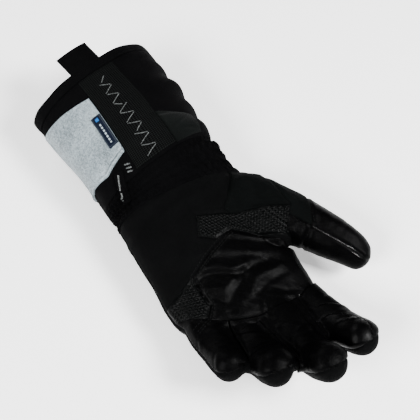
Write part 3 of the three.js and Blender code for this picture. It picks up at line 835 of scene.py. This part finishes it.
# Seams and folds of the hand.
# The panels meet in seams that draw the padding in. The palm's leather is creased across its middle and
# at the finger joints. Outlines are places along and across the hand, seen from above the palm.
leather_outline = [
    (55, 11), (57, 4), (60, -1), (69, -20), (79, -36), (92, -36), (104, -34), (112, -40), (118, -56),
    (118, -90), (175, -90), (175, 70), (84, 90), (82, 50), (66, 27),
]
thumb_grip_outline = [
    (33, -9), (39, 10), (47, 34), (52, 47), (62, 64), (80, 54), (66, 26), (55, 8), (58, -4), (50, -16),
]
heel_grip_outline = [
    (78, -36), (84, -50), (96, -90), (118, -90), (118, -56), (112, -40), (104, -34), (92, -36),
]
thumb_outline = [
    (88, 55.5), (74, 52), (60, 62), (46, 60), (28, 57.5), (10, 58), (10, 130), (180, 170), (180, 62),
]
thenar_outline = [
    (-10, 44), (14, 33), (37, 15), (42, 19), (47, 34), (52, 47), (62, 64), (60, 80), (-10, 80),
]
folds = [
    # height, half width, and the fold's line along and across the hand
    (1.2, 3.4, [(79.7, -37.5), (75.1, -28.6), (77.3, -19.1), (79.7, -13.3), (85.2, -6.5), (86.4, 6.4)]),
    (-1.52, 3.0, [(84, -38.9), (82, -27.5), (83.4, -19), (86.8, -12), (91, -4.5), (91.5, 2)]),
    (1.12, 3.6, [(90, -30.9), (94.5, -24.5), (97.6, -18.7), (95, -12.4), (93, -8.5)]),
    (-1.2, 3.4, [(109, -18.3), (103.5, -11.7), (98.5, -3.5), (91.5, 4), (90, 14.3), (90.5, 25.3)]),
    (0.88, 3.0, [(108.1, 0.5), (103.2, 5.1), (99.5, 9), (98.4, 19.8), (98.8, 26.2), (97.3, 32.9)]),
    (-0.66, 2.6, [(105, 34), (106, 24), (108, 14), (112, 6)]),
    (0.72, 4.2, [(63.4, -22.3), (68.9, -7.4), (75.5, 7.1), (81, 20.6), (86, 36)]),
    (-0.64, 3.0, [(68.5, -24), (73, -8), (79, 8), (85, 22)]),
    (-0.42, 2.4, [(62, 4), (69, 18), (76, 34)]),
    (0.54, 2.2, [(112, -10), (119.6, -1.9)]),
    (0.48, 2.0, [(120, 3.5), (127, 1.0), (135, 5.6)]),
    (-0.54, 2.2, [(101, -30), (108, -22), (116, -20)]),
    (0.48, 2.4, [(98, -33), (107, -27), (117, -26)]),
    (-0.48, 2.2, [(112, 18), (118, 26), (121, 36)]),
    (0.48, 2.2, [(116, 12), (121, 20), (124, 30)]),
]


def outline_distance(places, line, closed):
    """The least distance from each place to a line of straight stretches."""
    line = np.array(line, dtype=float)
    ends = np.roll(line, -1, 0) if closed else line[1:]
    starts = line if closed else line[:-1]
    reach = ends - starts
    share = ((places[:, None] - starts) * reach).sum(-1) / (reach**2).sum(-1)
    nearest = starts + np.clip(share, 0, 1)[..., None] * reach
    return np.linalg.norm(places[:, None] - nearest, axis=-1).min(1)


def outline_level(places, outline):
    """The distance to a closed outline, above 0 inside it: a place is inside if a line from it crosses
    the outline an odd number of times."""
    corners = np.array(outline, dtype=float)
    after = np.roll(corners, -1, 0)
    x, y = places[:, :1], places[:, 1:2]
    spans = (corners[:, 1] > y) != (after[:, 1] > y)
    rise = np.where(after[:, 1] == corners[:, 1], 1e-9, after[:, 1] - corners[:, 1])
    crossing = corners[:, 0] + (y - corners[:, 1]) * (after[:, 0] - corners[:, 0]) / rise
    inside = (spans & (x < crossing)).sum(1) % 2 == 1
    return np.where(inside, 1, -1) * outline_distance(places, outline, True)


def beside(name, points):
    """Where points lie beside a digit's nearest place: how far along it, and how far to its side and
    towards its palm."""
    distance, centre, side, palm = spine(name)
    gap = (points**2).sum(1)[:, None] - 2 * points @ centre.T + (centre**2).sum(1)
    nearest = gap.argmin(1)
    offset = points - centre[nearest]
    tangent = np.cross(side[nearest], palm[nearest])
    forward = np.sign((np.gradient(centre, axis=0)[nearest] * tangent).sum(1))
    along = distance[nearest] + (offset * tangent).sum(1) * forward
    return along, (offset * side[nearest]).sum(1), (offset * palm[nearest]).sum(1)


def outside_of(name, points):
    """How far points are outside a digit's skin."""
    along, side, palm = beside(name, points)
    rounding = 12
    straight = np.clip(along, 0, sum(digits[name].lengths) - rounding)
    return np.hypot(side, palm) - digit_radius(name, straight)


def palm_level(points):
    """How far points are on the palm's side of the hand's side seam."""
    height = read_sections(hand_sections, np.clip(points[:, 0], hand_start, hand_length))[1]
    return points[:, 2] - height


def knuckle_level(points):
    """How far points are past the line where the fingers leave the hand."""
    return points[:, 0] - (hand_length - 3) + arch(points[:, 1])


def thumb_level(points):
    """Above 0 on the thumb: inside its outline, and nearer to it than to the index finger."""
    nearer = outside_of("index", points) - outside_of("thumb", points)
    return np.minimum(outline_level(points[:, :2], thumb_outline), nearer)


def thumb_cap_level(points):
    """How far points are past the slanting line where the thumb's soft cloth ends at its leather cap."""
    along, side, palm = beside("thumb", points)
    turn = np.degrees(np.arctan2(palm, side))
    return along - np.interp(turn, [-180, -100, -69, -36, -11, 3, 40], [46, 47, 50, 57, 62.5, 63, 64])


def touch_level(points):
    """How far points are past the rear edge of the index finger's touch patch."""
    along, side, palm = beside("index", points)
    turn = np.degrees(np.arctan2(palm, side))
    angles = [40, 62, 75, 85, 112, 127, 158, 180]
    return along - np.interp(turn, angles, [112, 100, 82, 69.5, 62, 60, 60, 62])


def skin_normals(points, faces):
    """The mean direction of the faces at each point, by their size."""
    corners = points[faces]
    direct = np.cross(corners[:, 1] - corners[:, 0], corners[:, 2] - corners[:, 0])
    total = np.stack([
        np.bincount(faces.ravel(), np.repeat(direct[:, k], 3), len(points)) for k in range(3)
    ], -1)
    return total / np.maximum(np.linalg.norm(total, axis=1)[:, None], 1e-12)


def crumple(points, pitch, seed):
    """Uneven creasing: the mean of seven waves whose directions and shifts are drawn from a seed, each
    bent by the one before it."""
    draw = np.random.default_rng(seed)
    total, bent = 0, 0
    for _ in range(7):
        direction = draw.normal(size=3)
        direction /= np.linalg.norm(direction)
        period = pitch * draw.uniform(0.7, 1.5)
        bent = np.sin(points @ direction * 2 * np.pi / period + draw.uniform(0, 6) + bent)
        total = total + bent
    return total / 7


def seam_dip(distance, depth=0.9):
    """A seam draws the skin in along its line, and the turned edges beside it stand a little proud."""
    return -depth * bell(distance, 0, 1.25) + 0.3 * depth * bell(distance, 3.0, 1.5)


def side_swells(points, normals):
    """The hand is fuller on its thumb side and on its little finger's side than its sections say."""
    x, y = points[:, 0], points[:, 1]
    turned = normals @ hand_axes.T
    outward = turned @ np.array([-0.26, 0.87, 0.43])
    thumb_side = smooth(y, 20, 40) * smooth(x, 8, 30) * (1 - smooth(x, 104, 122))
    outer_side = (y < -38) * smooth(x, 60, 90) * (1 - smooth(x, 116, 142))
    swell = 3.4 * smooth(outward, 0.25, 0.9) * thumb_side
    return swell + 2.8 * smooth(-turned[:, 1], 0.2, 0.9) * outer_side


def joint_folds(number, name, along, turn):
    """Folds across the front of a digit at its two joints. They run aslant, the other way on each next
    digit, and are deeper on one side or the other."""
    first, second = np.cumsum(digits[name].lengths)[:2]
    slope = (turn - 90) / 9 * (1 if number % 2 else -1)
    total = 0
    for joint, strength in ((first, 1), (second, 0.55)):
        bent = joint + 1.3 * np.sin(turn / 26) - (0 if name == "thumb" else 1.5)
        uneven = 0.5 + 0.5 * np.sin(turn / 17 + number * 2 + joint)
        fold = -0.6 * (0.25 + uneven) * bell(along, bent + slope, 1.7)
        fold += 0.5 * bell(along, bent + 4 + slope, 3)
        fold -= 0.5 * (1 - uneven) * bell(along, bent - 8 - slope * 0.7, 1.9)
        fold += 0.35 * uneven * bell(along, bent - 4.5 - slope * 0.5, 2.6)
        total = total + strength * fold
    return total


def hand_relief(points, normals):
    """Everything that raises or lowers the bag's skin along its normals, in millimetres: fuller sides,
    folds, fine creases, the gathers at the wrist, and the seams between the panels."""
    flat, level, knuckles = points[:, :2], palm_level(points), knuckle_level(points)
    on_palm = smooth(level, 2, 9) * smooth(normals[:, 2], 0.1, 0.5)
    on_hand = 1 - smooth(knuckles, -2, 3)
    on_thumb = smooth(thumb_level(points), -2, 2)
    height = side_swells(points, normals)
    for rise, width, line in folds:
        near = outline_distance(flat, line, False)
        height += rise * bell(near, 0, width) * on_palm * (1 - on_thumb)
    leather = smooth(outline_level(flat, leather_outline), -1, 2) * smooth(level, -1, 3)
    height += 0.34 * crumple(points, 15, 4) * (0.5 + 0.5 * leather) * (0.4 + 0.6 * on_hand)
    height += 0.13 * crumple(points, 6, 9) * (0.4 + 0.6 * leather) * (0.5 + 0.5 * on_hand)
    gathered = 1 - smooth(points[:, 0], 4, 46)
    ripple = points[:, 0] / 2.1 + points[:, 1] / 17 + 1.5 * crumple(points, 40, 2)
    height += 0.5 * gathered * np.sin(ripple)
    for outline in (leather_outline, thumb_grip_outline, heel_grip_outline, thenar_outline):
        distance = np.abs(outline_level(flat, outline))
        height += seam_dip(distance, 0.75) * on_palm * on_hand * (1 - on_thumb)
    off_grip = 1 - smooth(outline_level(flat, thumb_grip_outline), -2, 1) * smooth(level, -1, 3)
    height += seam_dip(np.abs(thumb_level(points))) * (points[:, 0] < 95) * off_grip
    side_seam = seam_dip(np.abs(level), 0.8) * on_hand * (1 - on_thumb)
    height += side_seam * smooth(points[:, 0], 2, 8)
    height -= 0.1 * bell(knuckles, 0, 2.2) * smooth(level, -4, 4) * (1 - on_thumb)
    nearest = np.argmin([outside_of(name, points) for name in digits], axis=0)
    for number, name in enumerate(digits):
        along, side, palm = beside(name, points)
        lengths = digits[name].lengths
        mine = (nearest == number) * (on_thumb if name == "thumb" else 1 - on_hand)
        folding, seaming = (0.3 * off_grip, off_grip) if name == "thumb" else (1, 1)
        turn = np.degrees(np.arctan2(palm, side))
        height += mine * joint_folds(number, name, along, turn) * smooth(palm, -3, 6) * folding
        for joint in np.cumsum(lengths)[:2]:
            height -= mine * 0.25 * bell(along, joint + 3, 1.6) * (1 - smooth(palm, -6, 0))
        height += mine * seam_dip(np.abs(palm), 0.8) * (along < sum(lengths) - 3) * seaming
    for name, edge_level in (("thumb", thumb_cap_level), ("index", touch_level)):
        mine = (nearest == list(digits).index(name)) * (1 - on_hand + on_thumb)
        height += seam_dip(np.abs(edge_level(points)), 0.95) * mine
    return height


bag_normals = skin_normals(bag_skin, bag_triangles)
bag_skin += bag_normals * hand_relief(bag_skin, bag_normals)[:, None]
level_skin = from_hand(bag_skin)
level_skin[:, 2] = np.maximum(level_skin[:, 2], rest_height)
bag_skin = to_hand(level_skin)


def edge_table(faces):
    """The edges of triangles, each once, and which edge each side of each triangle is."""
    sides = np.sort(np.concatenate([faces[:, [0, 1]], faces[:, [1, 2]], faces[:, [2, 0]]]), axis=1)
    edges, side_edges = np.unique(sides, axis=0, return_inverse=True)
    return edges, side_edges.reshape(3, -1).T


def part(hide, level_at):
    """Cuts a skin of triangles where a level passes zero. Points close to the line are drawn onto it,
    and the edges that still cross it are cut. Gives the side above zero and the side below."""
    points, faces = hide[0].copy(), hide[1]
    level = level_at(points)
    edges, side_edges = edge_table(faces)
    a, b = edges.T
    crossing = np.flatnonzero(level[a] * level[b] < 0)
    share = level[a[crossing]] / (level[a[crossing]] - level[b[crossing]])
    meeting = points[a[crossing]] + share[:, None] * (points[b[crossing]] - points[a[crossing]])
    owner = np.where(share < 0.5, a[crossing], b[crossing])
    closeness = np.minimum(share, 1 - share)
    order = np.argsort(-closeness)
    order = order[closeness[order] < 0.3]
    points[owner[order]] = meeting[order]
    level[owner[order]] = 0
    cut = level[a] * level[b] < 0
    share = (level[a[cut]] / (level[a[cut]] - level[b[cut]]))[:, None]
    fresh = np.full(len(edges), -1)
    fresh[cut] = len(points) + np.arange(cut.sum())
    points = np.concatenate([points, points[a[cut]] * (1 - share) + points[b[cut]] * share])
    level = np.concatenate([level, np.zeros(cut.sum())])
    cuts = cut[side_edges]
    count = cuts.sum(1)
    pieces = [faces[count == 0]]
    for number in (1, 2):
        some = count == number
        lead = np.argmax(cuts[some] if number == 1 else ~cuts[some], axis=1)[:, None]
        turned = (lead + np.arange(3)) % 3
        corner = np.take_along_axis(faces[some], turned, 1)
        middle = fresh[np.take_along_axis(side_edges[some], turned, 1)]
        if number == 1:
            pieces.append(np.stack([corner[:, 0], middle[:, 0], corner[:, 2]], -1))
            pieces.append(np.stack([middle[:, 0], corner[:, 1], corner[:, 2]], -1))
        else:
            pieces.append(np.stack([corner[:, 2], middle[:, 2], middle[:, 1]], -1))
            pieces.append(np.stack([corner[:, 0], corner[:, 1], middle[:, 1]], -1))
            pieces.append(np.stack([corner[:, 0], middle[:, 1], middle[:, 2]], -1))
    faces = np.concatenate(pieces)
    above = level[faces].sum(1) > 0
    return compact(points, faces[above]), compact(points, faces[~above])


def compact(points, faces):
    """The points that the faces use, and the faces with their new numbers."""
    used, numbers = np.unique(faces, return_inverse=True)
    return points[used], numbers.reshape(-1, 3)


def finger_level(name, other):
    """A level that is above 0 nearer to one finger than to another."""
    return lambda points: outside_of(other, points) - outside_of(name, points)


def front_level(name):
    """A level that is above 0 on the palm side of a digit."""
    return lambda points: beside(name, points)[2]


def inside_outline(outline):
    """A level that is above 0 inside an outline, seen from above the palm."""
    return lambda points: outline_level(points[:, :2], outline)


under_band = 4.0
whole, _ = part((bag_skin, bag_triangles), lambda points: points[:, 0] - under_band)
thumb_skin, rest = part(whole, thumb_level)
finger_skins, hand_skin = part(rest, knuckle_level)
index_skin, others = part(finger_skins, finger_level("index", "middle"))
middle_skin, others = part(others, finger_level("middle", "ring"))
ring_skin, little_skin = part(others, finger_level("ring", "little"))
palm_skin, back_skin = part(hand_skin, palm_level)
leather_skin, rest = part(palm_skin, inside_outline(leather_outline))
thumb_grip_skin, rest = part(rest, inside_outline(thumb_grip_outline))
heel_grip_skin, rest = part(rest, inside_outline(heel_grip_outline))
thenar_skin, heel_skin = part(rest, inside_outline(thenar_outline))


def refined(hide):
    """Every triangle made four, by points halfway along its sides."""
    points, faces = hide
    edges, side_edges = edge_table(faces)
    middle = side_edges + len(points)
    points = np.concatenate([points, points[edges].mean(1)])
    a, b, c = faces.T
    ab, bc, ca = middle.T
    four = [(a, ab, ca), (ab, b, bc), (ca, bc, c), (ab, bc, ca)]
    return points, np.concatenate([np.stack(triple, -1) for triple in four])


def punched(hide, turn, pitch=2.7):
    """A grip patch is embossed with dots in staggered rows, which sink by almost a millimetre."""
    points, faces = refined(refined(hide))
    row_pitch = pitch * 0.866
    x = (points[:, 0] * np.cos(turn) + points[:, 1] * np.sin(turn)) / pitch
    y = (points[:, 1] * np.cos(turn) - points[:, 0] * np.sin(turn)) / row_pitch
    row = np.round(y)
    nearest = np.hypot(((x - row / 2 + 0.5) % 1 - 0.5) * pitch, (y - row) * row_pitch)
    sink = -0.95 * bell(nearest, 0, 0.7) + 0.2
    inside = outline_level(points[:, :2], thumb_grip_outline)
    inside = np.maximum(inside, outline_level(points[:, :2], heel_grip_outline))
    points = points + skin_normals(points, faces) * (sink * smooth(inside, 1.2, 2.6))[:, None]
    return points, faces


def hand_weave(points):
    """The weave map of the hand: along it, and across it and down its sides."""
    down = np.maximum(np.abs(points[:, 1] + 5) - 48, 0)
    return np.stack([points[:, 0], points[:, 1] + np.sign(points[:, 1]) * down * 0.6], -1)


def digit_weave(name):
    """The weave map of a digit: along it, and round it."""
    def weave(points):
        along, side, palm = beside(name, points)
        return np.stack([along, np.arctan2(palm, side) * digits[name].radii[1]], -1)
    return weave


def panel(hide, weave, name, material, slot, *nodes):
    """A sewn panel: its skin, with 2 mm of padding and lining inside it."""
    points, faces = hide
    piece = make_piece(name, from_hand(points), faces, weave(points), 60)
    wall = piece.modifiers.new("padding", "SOLIDIFY")
    wall.thickness = 0.002
    wall.offset = -1
    dress(piece, material, slot, *nodes)


def leather(name, dark, light, roughness, specular, grain=0.00006):
    """Black goatskin: small rounded cells between fine creases, shinier where it is stretched."""
    material, start = new_material(name)
    place = start.node("TexCoord", output="Object")
    bend = speckle(start, 160, 3)
    cells = start.node("TexVoronoi", {"feature": "DISTANCE_TO_EDGE"}, {"Vector": place, "Scale": 750.0})
    pores = start.node("TexVoronoi", {"feature": "F1"}, {"Vector": place, "Scale": 1500.0})
    height = cells.ramp(0.0, 0.35) + pores * 0.3 + bend * 1.4
    worn = speckle(start, 38, 3, 0.6)
    colour = (worn * 0.6 + cells * 0.8).ramp(0.25, 0.8).mix(dark, light)
    rough = roughness + worn * 0.22 - 0.11 + pores * 0.06
    surface(start, colour, rough, height, grain, Specular_IOR_Level=specular)
    return material


palm_hide = leather("palm_leather", (0.0006, 0.0006, 0.00065, 1), (0.0014, 0.0014, 0.0015, 1), 0.34,
                    0.022, 0.00007)
finger_hide = leather("finger_leather", (0.0005, 0.0005, 0.00055, 1), (0.0012, 0.0012, 0.0013, 1), 0.37,
                      0.016, 0.00007)
grip_hide = leather("grip_leather", (0.0005, 0.0006, 0.0006, 1), (0.0019, 0.0021, 0.0021, 1), 0.34, 0.038)
touch_hide = leather("touch_leather", (0.0006, 0.0006, 0.00065, 1), (0.0014, 0.0014, 0.0015, 1), 0.27,
                     0.03)
softshell = woven("softshell", (0.0005, 0.00055, 0.0006, 1), (0.0021, 0.0022, 0.0023, 1), 0.8, 0.0002, 0.7)
thumb_shell = woven("thumb_softshell", (0.0007, 0.0009, 0.00085, 1), (0.0024, 0.0028, 0.0028, 1), 1.4,
                    0.0003, 0.75, slant=True)

panel(back_skin, hand_weave, "back_of_hand", softshell, "hand_shell", "hand_back")
panel(leather_skin, hand_weave, "palm_hide", palm_hide, "smooth_leather", "palm_leather")
panel(heel_skin, hand_weave, "heel_of_palm", softshell, "hand_shell", "palm_heel")
panel(thenar_skin, hand_weave, "base_of_thumb", thumb_shell, "hand_shell")
panel(punched(thumb_grip_skin, 0.5), hand_weave, "thumb_grip", grip_hide, "grip_leather",
      "thumb_grip_patch")
panel(punched(heel_grip_skin, 0.2), hand_weave, "heel_grip", grip_hide, "grip_leather", "heel_grip_patch")
front, back = part(index_skin, front_level("index"))
touch, front = part(front, touch_level)
panel(front, digit_weave("index"), "index_leather", finger_hide, "smooth_leather", "index_front")
panel(touch, digit_weave("index"), "index_touch", touch_hide, "smooth_leather", "index_touch_patch")
panel(back, digit_weave("index"), "index_cloth", softshell, "hand_shell", "index_back")


def thumb_leather_level(points):
    """Above 0 on the thumb's leather: its palm side and the cap over its tip."""
    return np.maximum(front_level("thumb")(points), thumb_cap_level(points))


front, back = part(thumb_skin, thumb_leather_level)
panel(front, digit_weave("thumb"), "thumb_leather", finger_hide, "smooth_leather", "thumb_front")
panel(back, digit_weave("thumb"), "thumb_cloth", thumb_shell, "hand_shell", "thumb_back")
for name, finger_skin in (("middle", middle_skin), ("ring", ring_skin), ("little", little_skin)):
    front, back = part(finger_skin, front_level(name))
    panel(front, digit_weave(name), name + "_leather", finger_hide, "smooth_leather", name + "_front")
    panel(back, digit_weave(name), name + "_cloth", softshell, "hand_shell", name + "_back")


# Topstitching.
# Black thread in single stitches, 3 mm apart, runs beside the seams of the palm and of the digits.
thread = woven("thread", (0.0015, 0.0016, 0.0016, 1), (0.008, 0.0084, 0.0084, 1), 0.5, 0.00008, 0.5)
bag_surface = skin_normals(bag_skin, bag_triangles)


def stitched(name, lines, length=2.1, pitch=3.0, width=0.55, material=thread, ends=0.25):
    """Stitches along lines of places in the hand's axes: each is a small spindle laid on the nearest
    skin, bedded half its depth. Ends is how thick its two ends are beside its middle."""
    points, faces = [], []
    swell = np.array([ends, 0.8 + ends / 5, 1.0, 0.8 + ends / 5, ends]) * width / 2
    bedding = (1.07 - ends) * np.array([0.2, 0.03, 0, 0.03, 0.2]) - 0.12
    turn = np.linspace(0, 2 * np.pi, 7)[:-1]
    for line in lines:
        strides = np.linalg.norm(np.diff(line, axis=0), axis=1)
        reach = np.concatenate([[0], np.cumsum(strides)])
        for start in np.arange(1.0, reach[-1] - length, pitch):
            middle = [np.interp(start + length / 2, reach, column) for column in line.T]
            nearest = ((bag_skin - middle) ** 2).sum(1).argmin()
            normal = bag_surface[nearest]
            centre = column_reader(np.linspace(start, start + length, 5), reach)(line)
            centre -= ((centre - bag_skin[nearest]) @ normal)[:, None] * normal
            centre -= normal * bedding[:, None]
            ahead = (centre[-1] - centre[0]) / np.linalg.norm(centre[-1] - centre[0])
            beside_it = np.cross(ahead, normal)
            ring = np.cos(turn)[:, None] * beside_it + 0.7 * np.sin(turn)[:, None] * normal
            tube, tube_faces = closed_tube(centre[:, None] + swell[:, None, None] * ring)
            count = len(tube) * len(points)
            faces += [[corner + count for corner in face] for face in tube_faces]
            points.append(tube)
    points = np.concatenate(points)
    dress(link_mesh(name, from_hand(points), faces, points[:, :2]), material, "smooth_leather")


def over_palm(outline, inset, first, last):
    """Part of an outline moved inwards by inset, at the height of the palm's skin."""
    corners = np.array(outline, dtype=float)[first:last]
    reach = np.concatenate([[0], np.cumsum(np.linalg.norm(np.diff(corners, axis=0), axis=1))])
    line = column_reader(np.arange(0, reach[-1]), reach)(corners)
    ahead = np.gradient(line, axis=0)
    ahead /= np.linalg.norm(ahead, axis=1)[:, None]
    line = line + inset * np.stack([ahead[:, 1], -ahead[:, 0]], -1)
    palm = bag_skin[palm_level(bag_skin) > 0]
    heights = [palm[((palm[:, :2] - place) ** 2).sum(1).argmin(), 2] for place in line]
    return np.column_stack([line, heights])


def along_digit(name, angle, start, end):
    """A line down a digit's skin at one angle about it, 0 being its side and 90 its palm."""
    distance, centre, side, palm = spine(name)
    inside = (distance >= start) & (distance <= end)
    radius = digit_radius(name, distance[inside])[:, None]
    angle = np.radians(angle)
    return centre[inside] + radius * (np.cos(angle) * side[inside] + np.sin(angle) * palm[inside])


def round_digit(name, angles, places):
    """A line across a digit's skin through places at angles about it."""
    steps, knots = np.linspace(0, 1, 80), np.linspace(0, 1, len(angles))
    turn = np.radians(np.interp(steps, knots, angles))[:, None]
    along = np.interp(steps, knots, places)
    distance, *directions = spine(name)
    centre, side, palm = (column_reader(along, distance)(values) for values in directions)
    return centre + digit_radius(name, along)[:, None] * (np.cos(turn) * side + np.sin(turn) * palm)


beside_seam = 1.8
palm_rows = [over_palm(leather_outline, inset, 0, 9) for inset in (1.9, -1.9, -3.6)]
palm_rows.append(over_palm(leather_outline, -1.9, 13, 15))
palm_rows.append(over_palm(thumb_grip_outline, beside_seam, 0, 5))
stitched("palm_stitches", palm_rows)
stitched("thumb_stitches", [along_digit("thumb", 6, 50, 62)])
touch_angles = [66, 75, 85, 112, 127, 158, 174]
touch_edge = np.array([98, 82, 69.5, 62, 60, 60, 61.5])
cap_angles = [-90, -69, -36, -11, -4]
cap_edge = np.array([47.3, 50, 57, 62.5, 63])
stitched("finger_stitches", [
    round_digit("index", touch_angles, touch_edge + beside_seam),
    round_digit("thumb", cap_angles, cap_edge + beside_seam),
    along_digit("index", 170, 26, 98),
    along_digit("middle", 10, 30, 104),
    along_digit("ring", 10, 28, 96),
    along_digit("ring", 170, 28, 96),
    along_digit("little", 170, 22, 78),
])
seam_edges = [
    round_digit("index", touch_angles, touch_edge),
    along_digit("index", 152, 20, 60),
    round_digit("ring", [70, 78, 117, 148, 160], [30, 42, 61, 63.5, 66]),
    along_digit("thumb", 1, 64, 96),
]
tip_lines = [along_digit("thumb", 0, 93, 106), along_digit("thumb", 12, 98, 110)]
# The raised piping is real, but its colour is kept lighter than the leather beside it: a painted highlight
# along the seam beads and along the two lines on the thumb's tip.
piping_painted_highlight = leather("piping_leather_painted_highlight", (0.003, 0.003, 0.003, 1), (0.01, 0.01, 0.01, 1), 0.22, 0.5)
stitched("seam_beads", seam_edges, length=3.2, pitch=3.0, width=0.8, material=piping_painted_highlight, ends=1.0)
stitched("thumb_tip_lines", tip_lines, length=9.0, pitch=20.0, width=0.9, material=piping_painted_highlight)


# Stage.
# A pale floor, soft studio light from above and both sides, and the camera, 60 degrees above the floor.
floor_mesh = bpy.data.meshes.new("floor")
floor_mesh.from_pydata([(-3, -3, 0), (3, -3, 0), (3, 3, 0), (-3, 3, 0)], [], [(0, 1, 2, 3)])
floor = bpy.data.objects.new("floor", floor_mesh)
bpy.context.scene.collection.objects.link(floor)
floor_paint, floor_start = new_material("pale_floor")
pale = floor_start.node("BsdfPrincipled", sockets={
    "Base Color": (0.93, 0.93, 0.93, 1), "Roughness": 0.9, "Specular IOR Level": 0.0,
    "Emission Color": (1, 1, 1, 1), "Emission Strength": 0.6,
})
floor_start.node("OutputMaterial", sockets={"Surface": pale})
floor_mesh.materials.append(floor_paint)


def look_turn(direction):
    """The turn of a lamp or camera whose back points in a direction, kept upright."""
    flat_reach = np.hypot(direction[0], direction[1])
    return (np.arctan2(flat_reach, direction[2]), 0, np.arctan2(direction[0], -direction[1]))


def soft_light(name, place, size, power):
    """A square area light that faces the glove."""
    light = bpy.data.lights.new(name, "AREA")
    light.size = size
    light.energy = power
    lamp = bpy.data.objects.new(name, light)
    lamp.location = place
    lamp.rotation_euler = look_turn(np.array(place) - [0, 0, 0.03])
    bpy.context.scene.collection.objects.link(lamp)


soft_light("key", (1.0, 0.65, 1.25), 0.55, 84)
soft_light("fill", (0.15, -1.35, 1.2), 0.7, 72)
soft_light("left", (-1.45, 0.1, 1.0), 0.7, 16)
world = bpy.data.worlds.new("studio")
bpy.context.scene.world = world
world.use_nodes = True
sky = world.node_tree.nodes["Background"].inputs
sky["Color"].default_value = (1, 1, 1, 1)
sky["Strength"].default_value = 0.04

camera_reach, focal_pixels, picture_pixels, shift_pixels = 0.80386, 980.7, 420, (5.77, 20.0)
camera_turn, camera_rise = np.radians([50.0, 60.41])
look_at = np.array([0.170, -0.010, 0.030]) + origin
backwards = np.array([
    np.sin(camera_turn) * np.cos(camera_rise),
    -np.cos(camera_turn) * np.cos(camera_rise),
    np.sin(camera_rise),
])
lens = bpy.data.cameras.new("camera")
lens.sensor_width = 36
lens.lens = lens.sensor_width * focal_pixels / picture_pixels
lens.shift_x, lens.shift_y = (shift / picture_pixels for shift in shift_pixels)
lens.clip_start = 0.01
camera = bpy.data.objects.new("camera", lens)
camera.location = look_at + camera_reach * backwards
camera.rotation_euler = look_turn(backwards)
bpy.context.scene.collection.objects.link(camera)
bpy.context.scene.camera = camera
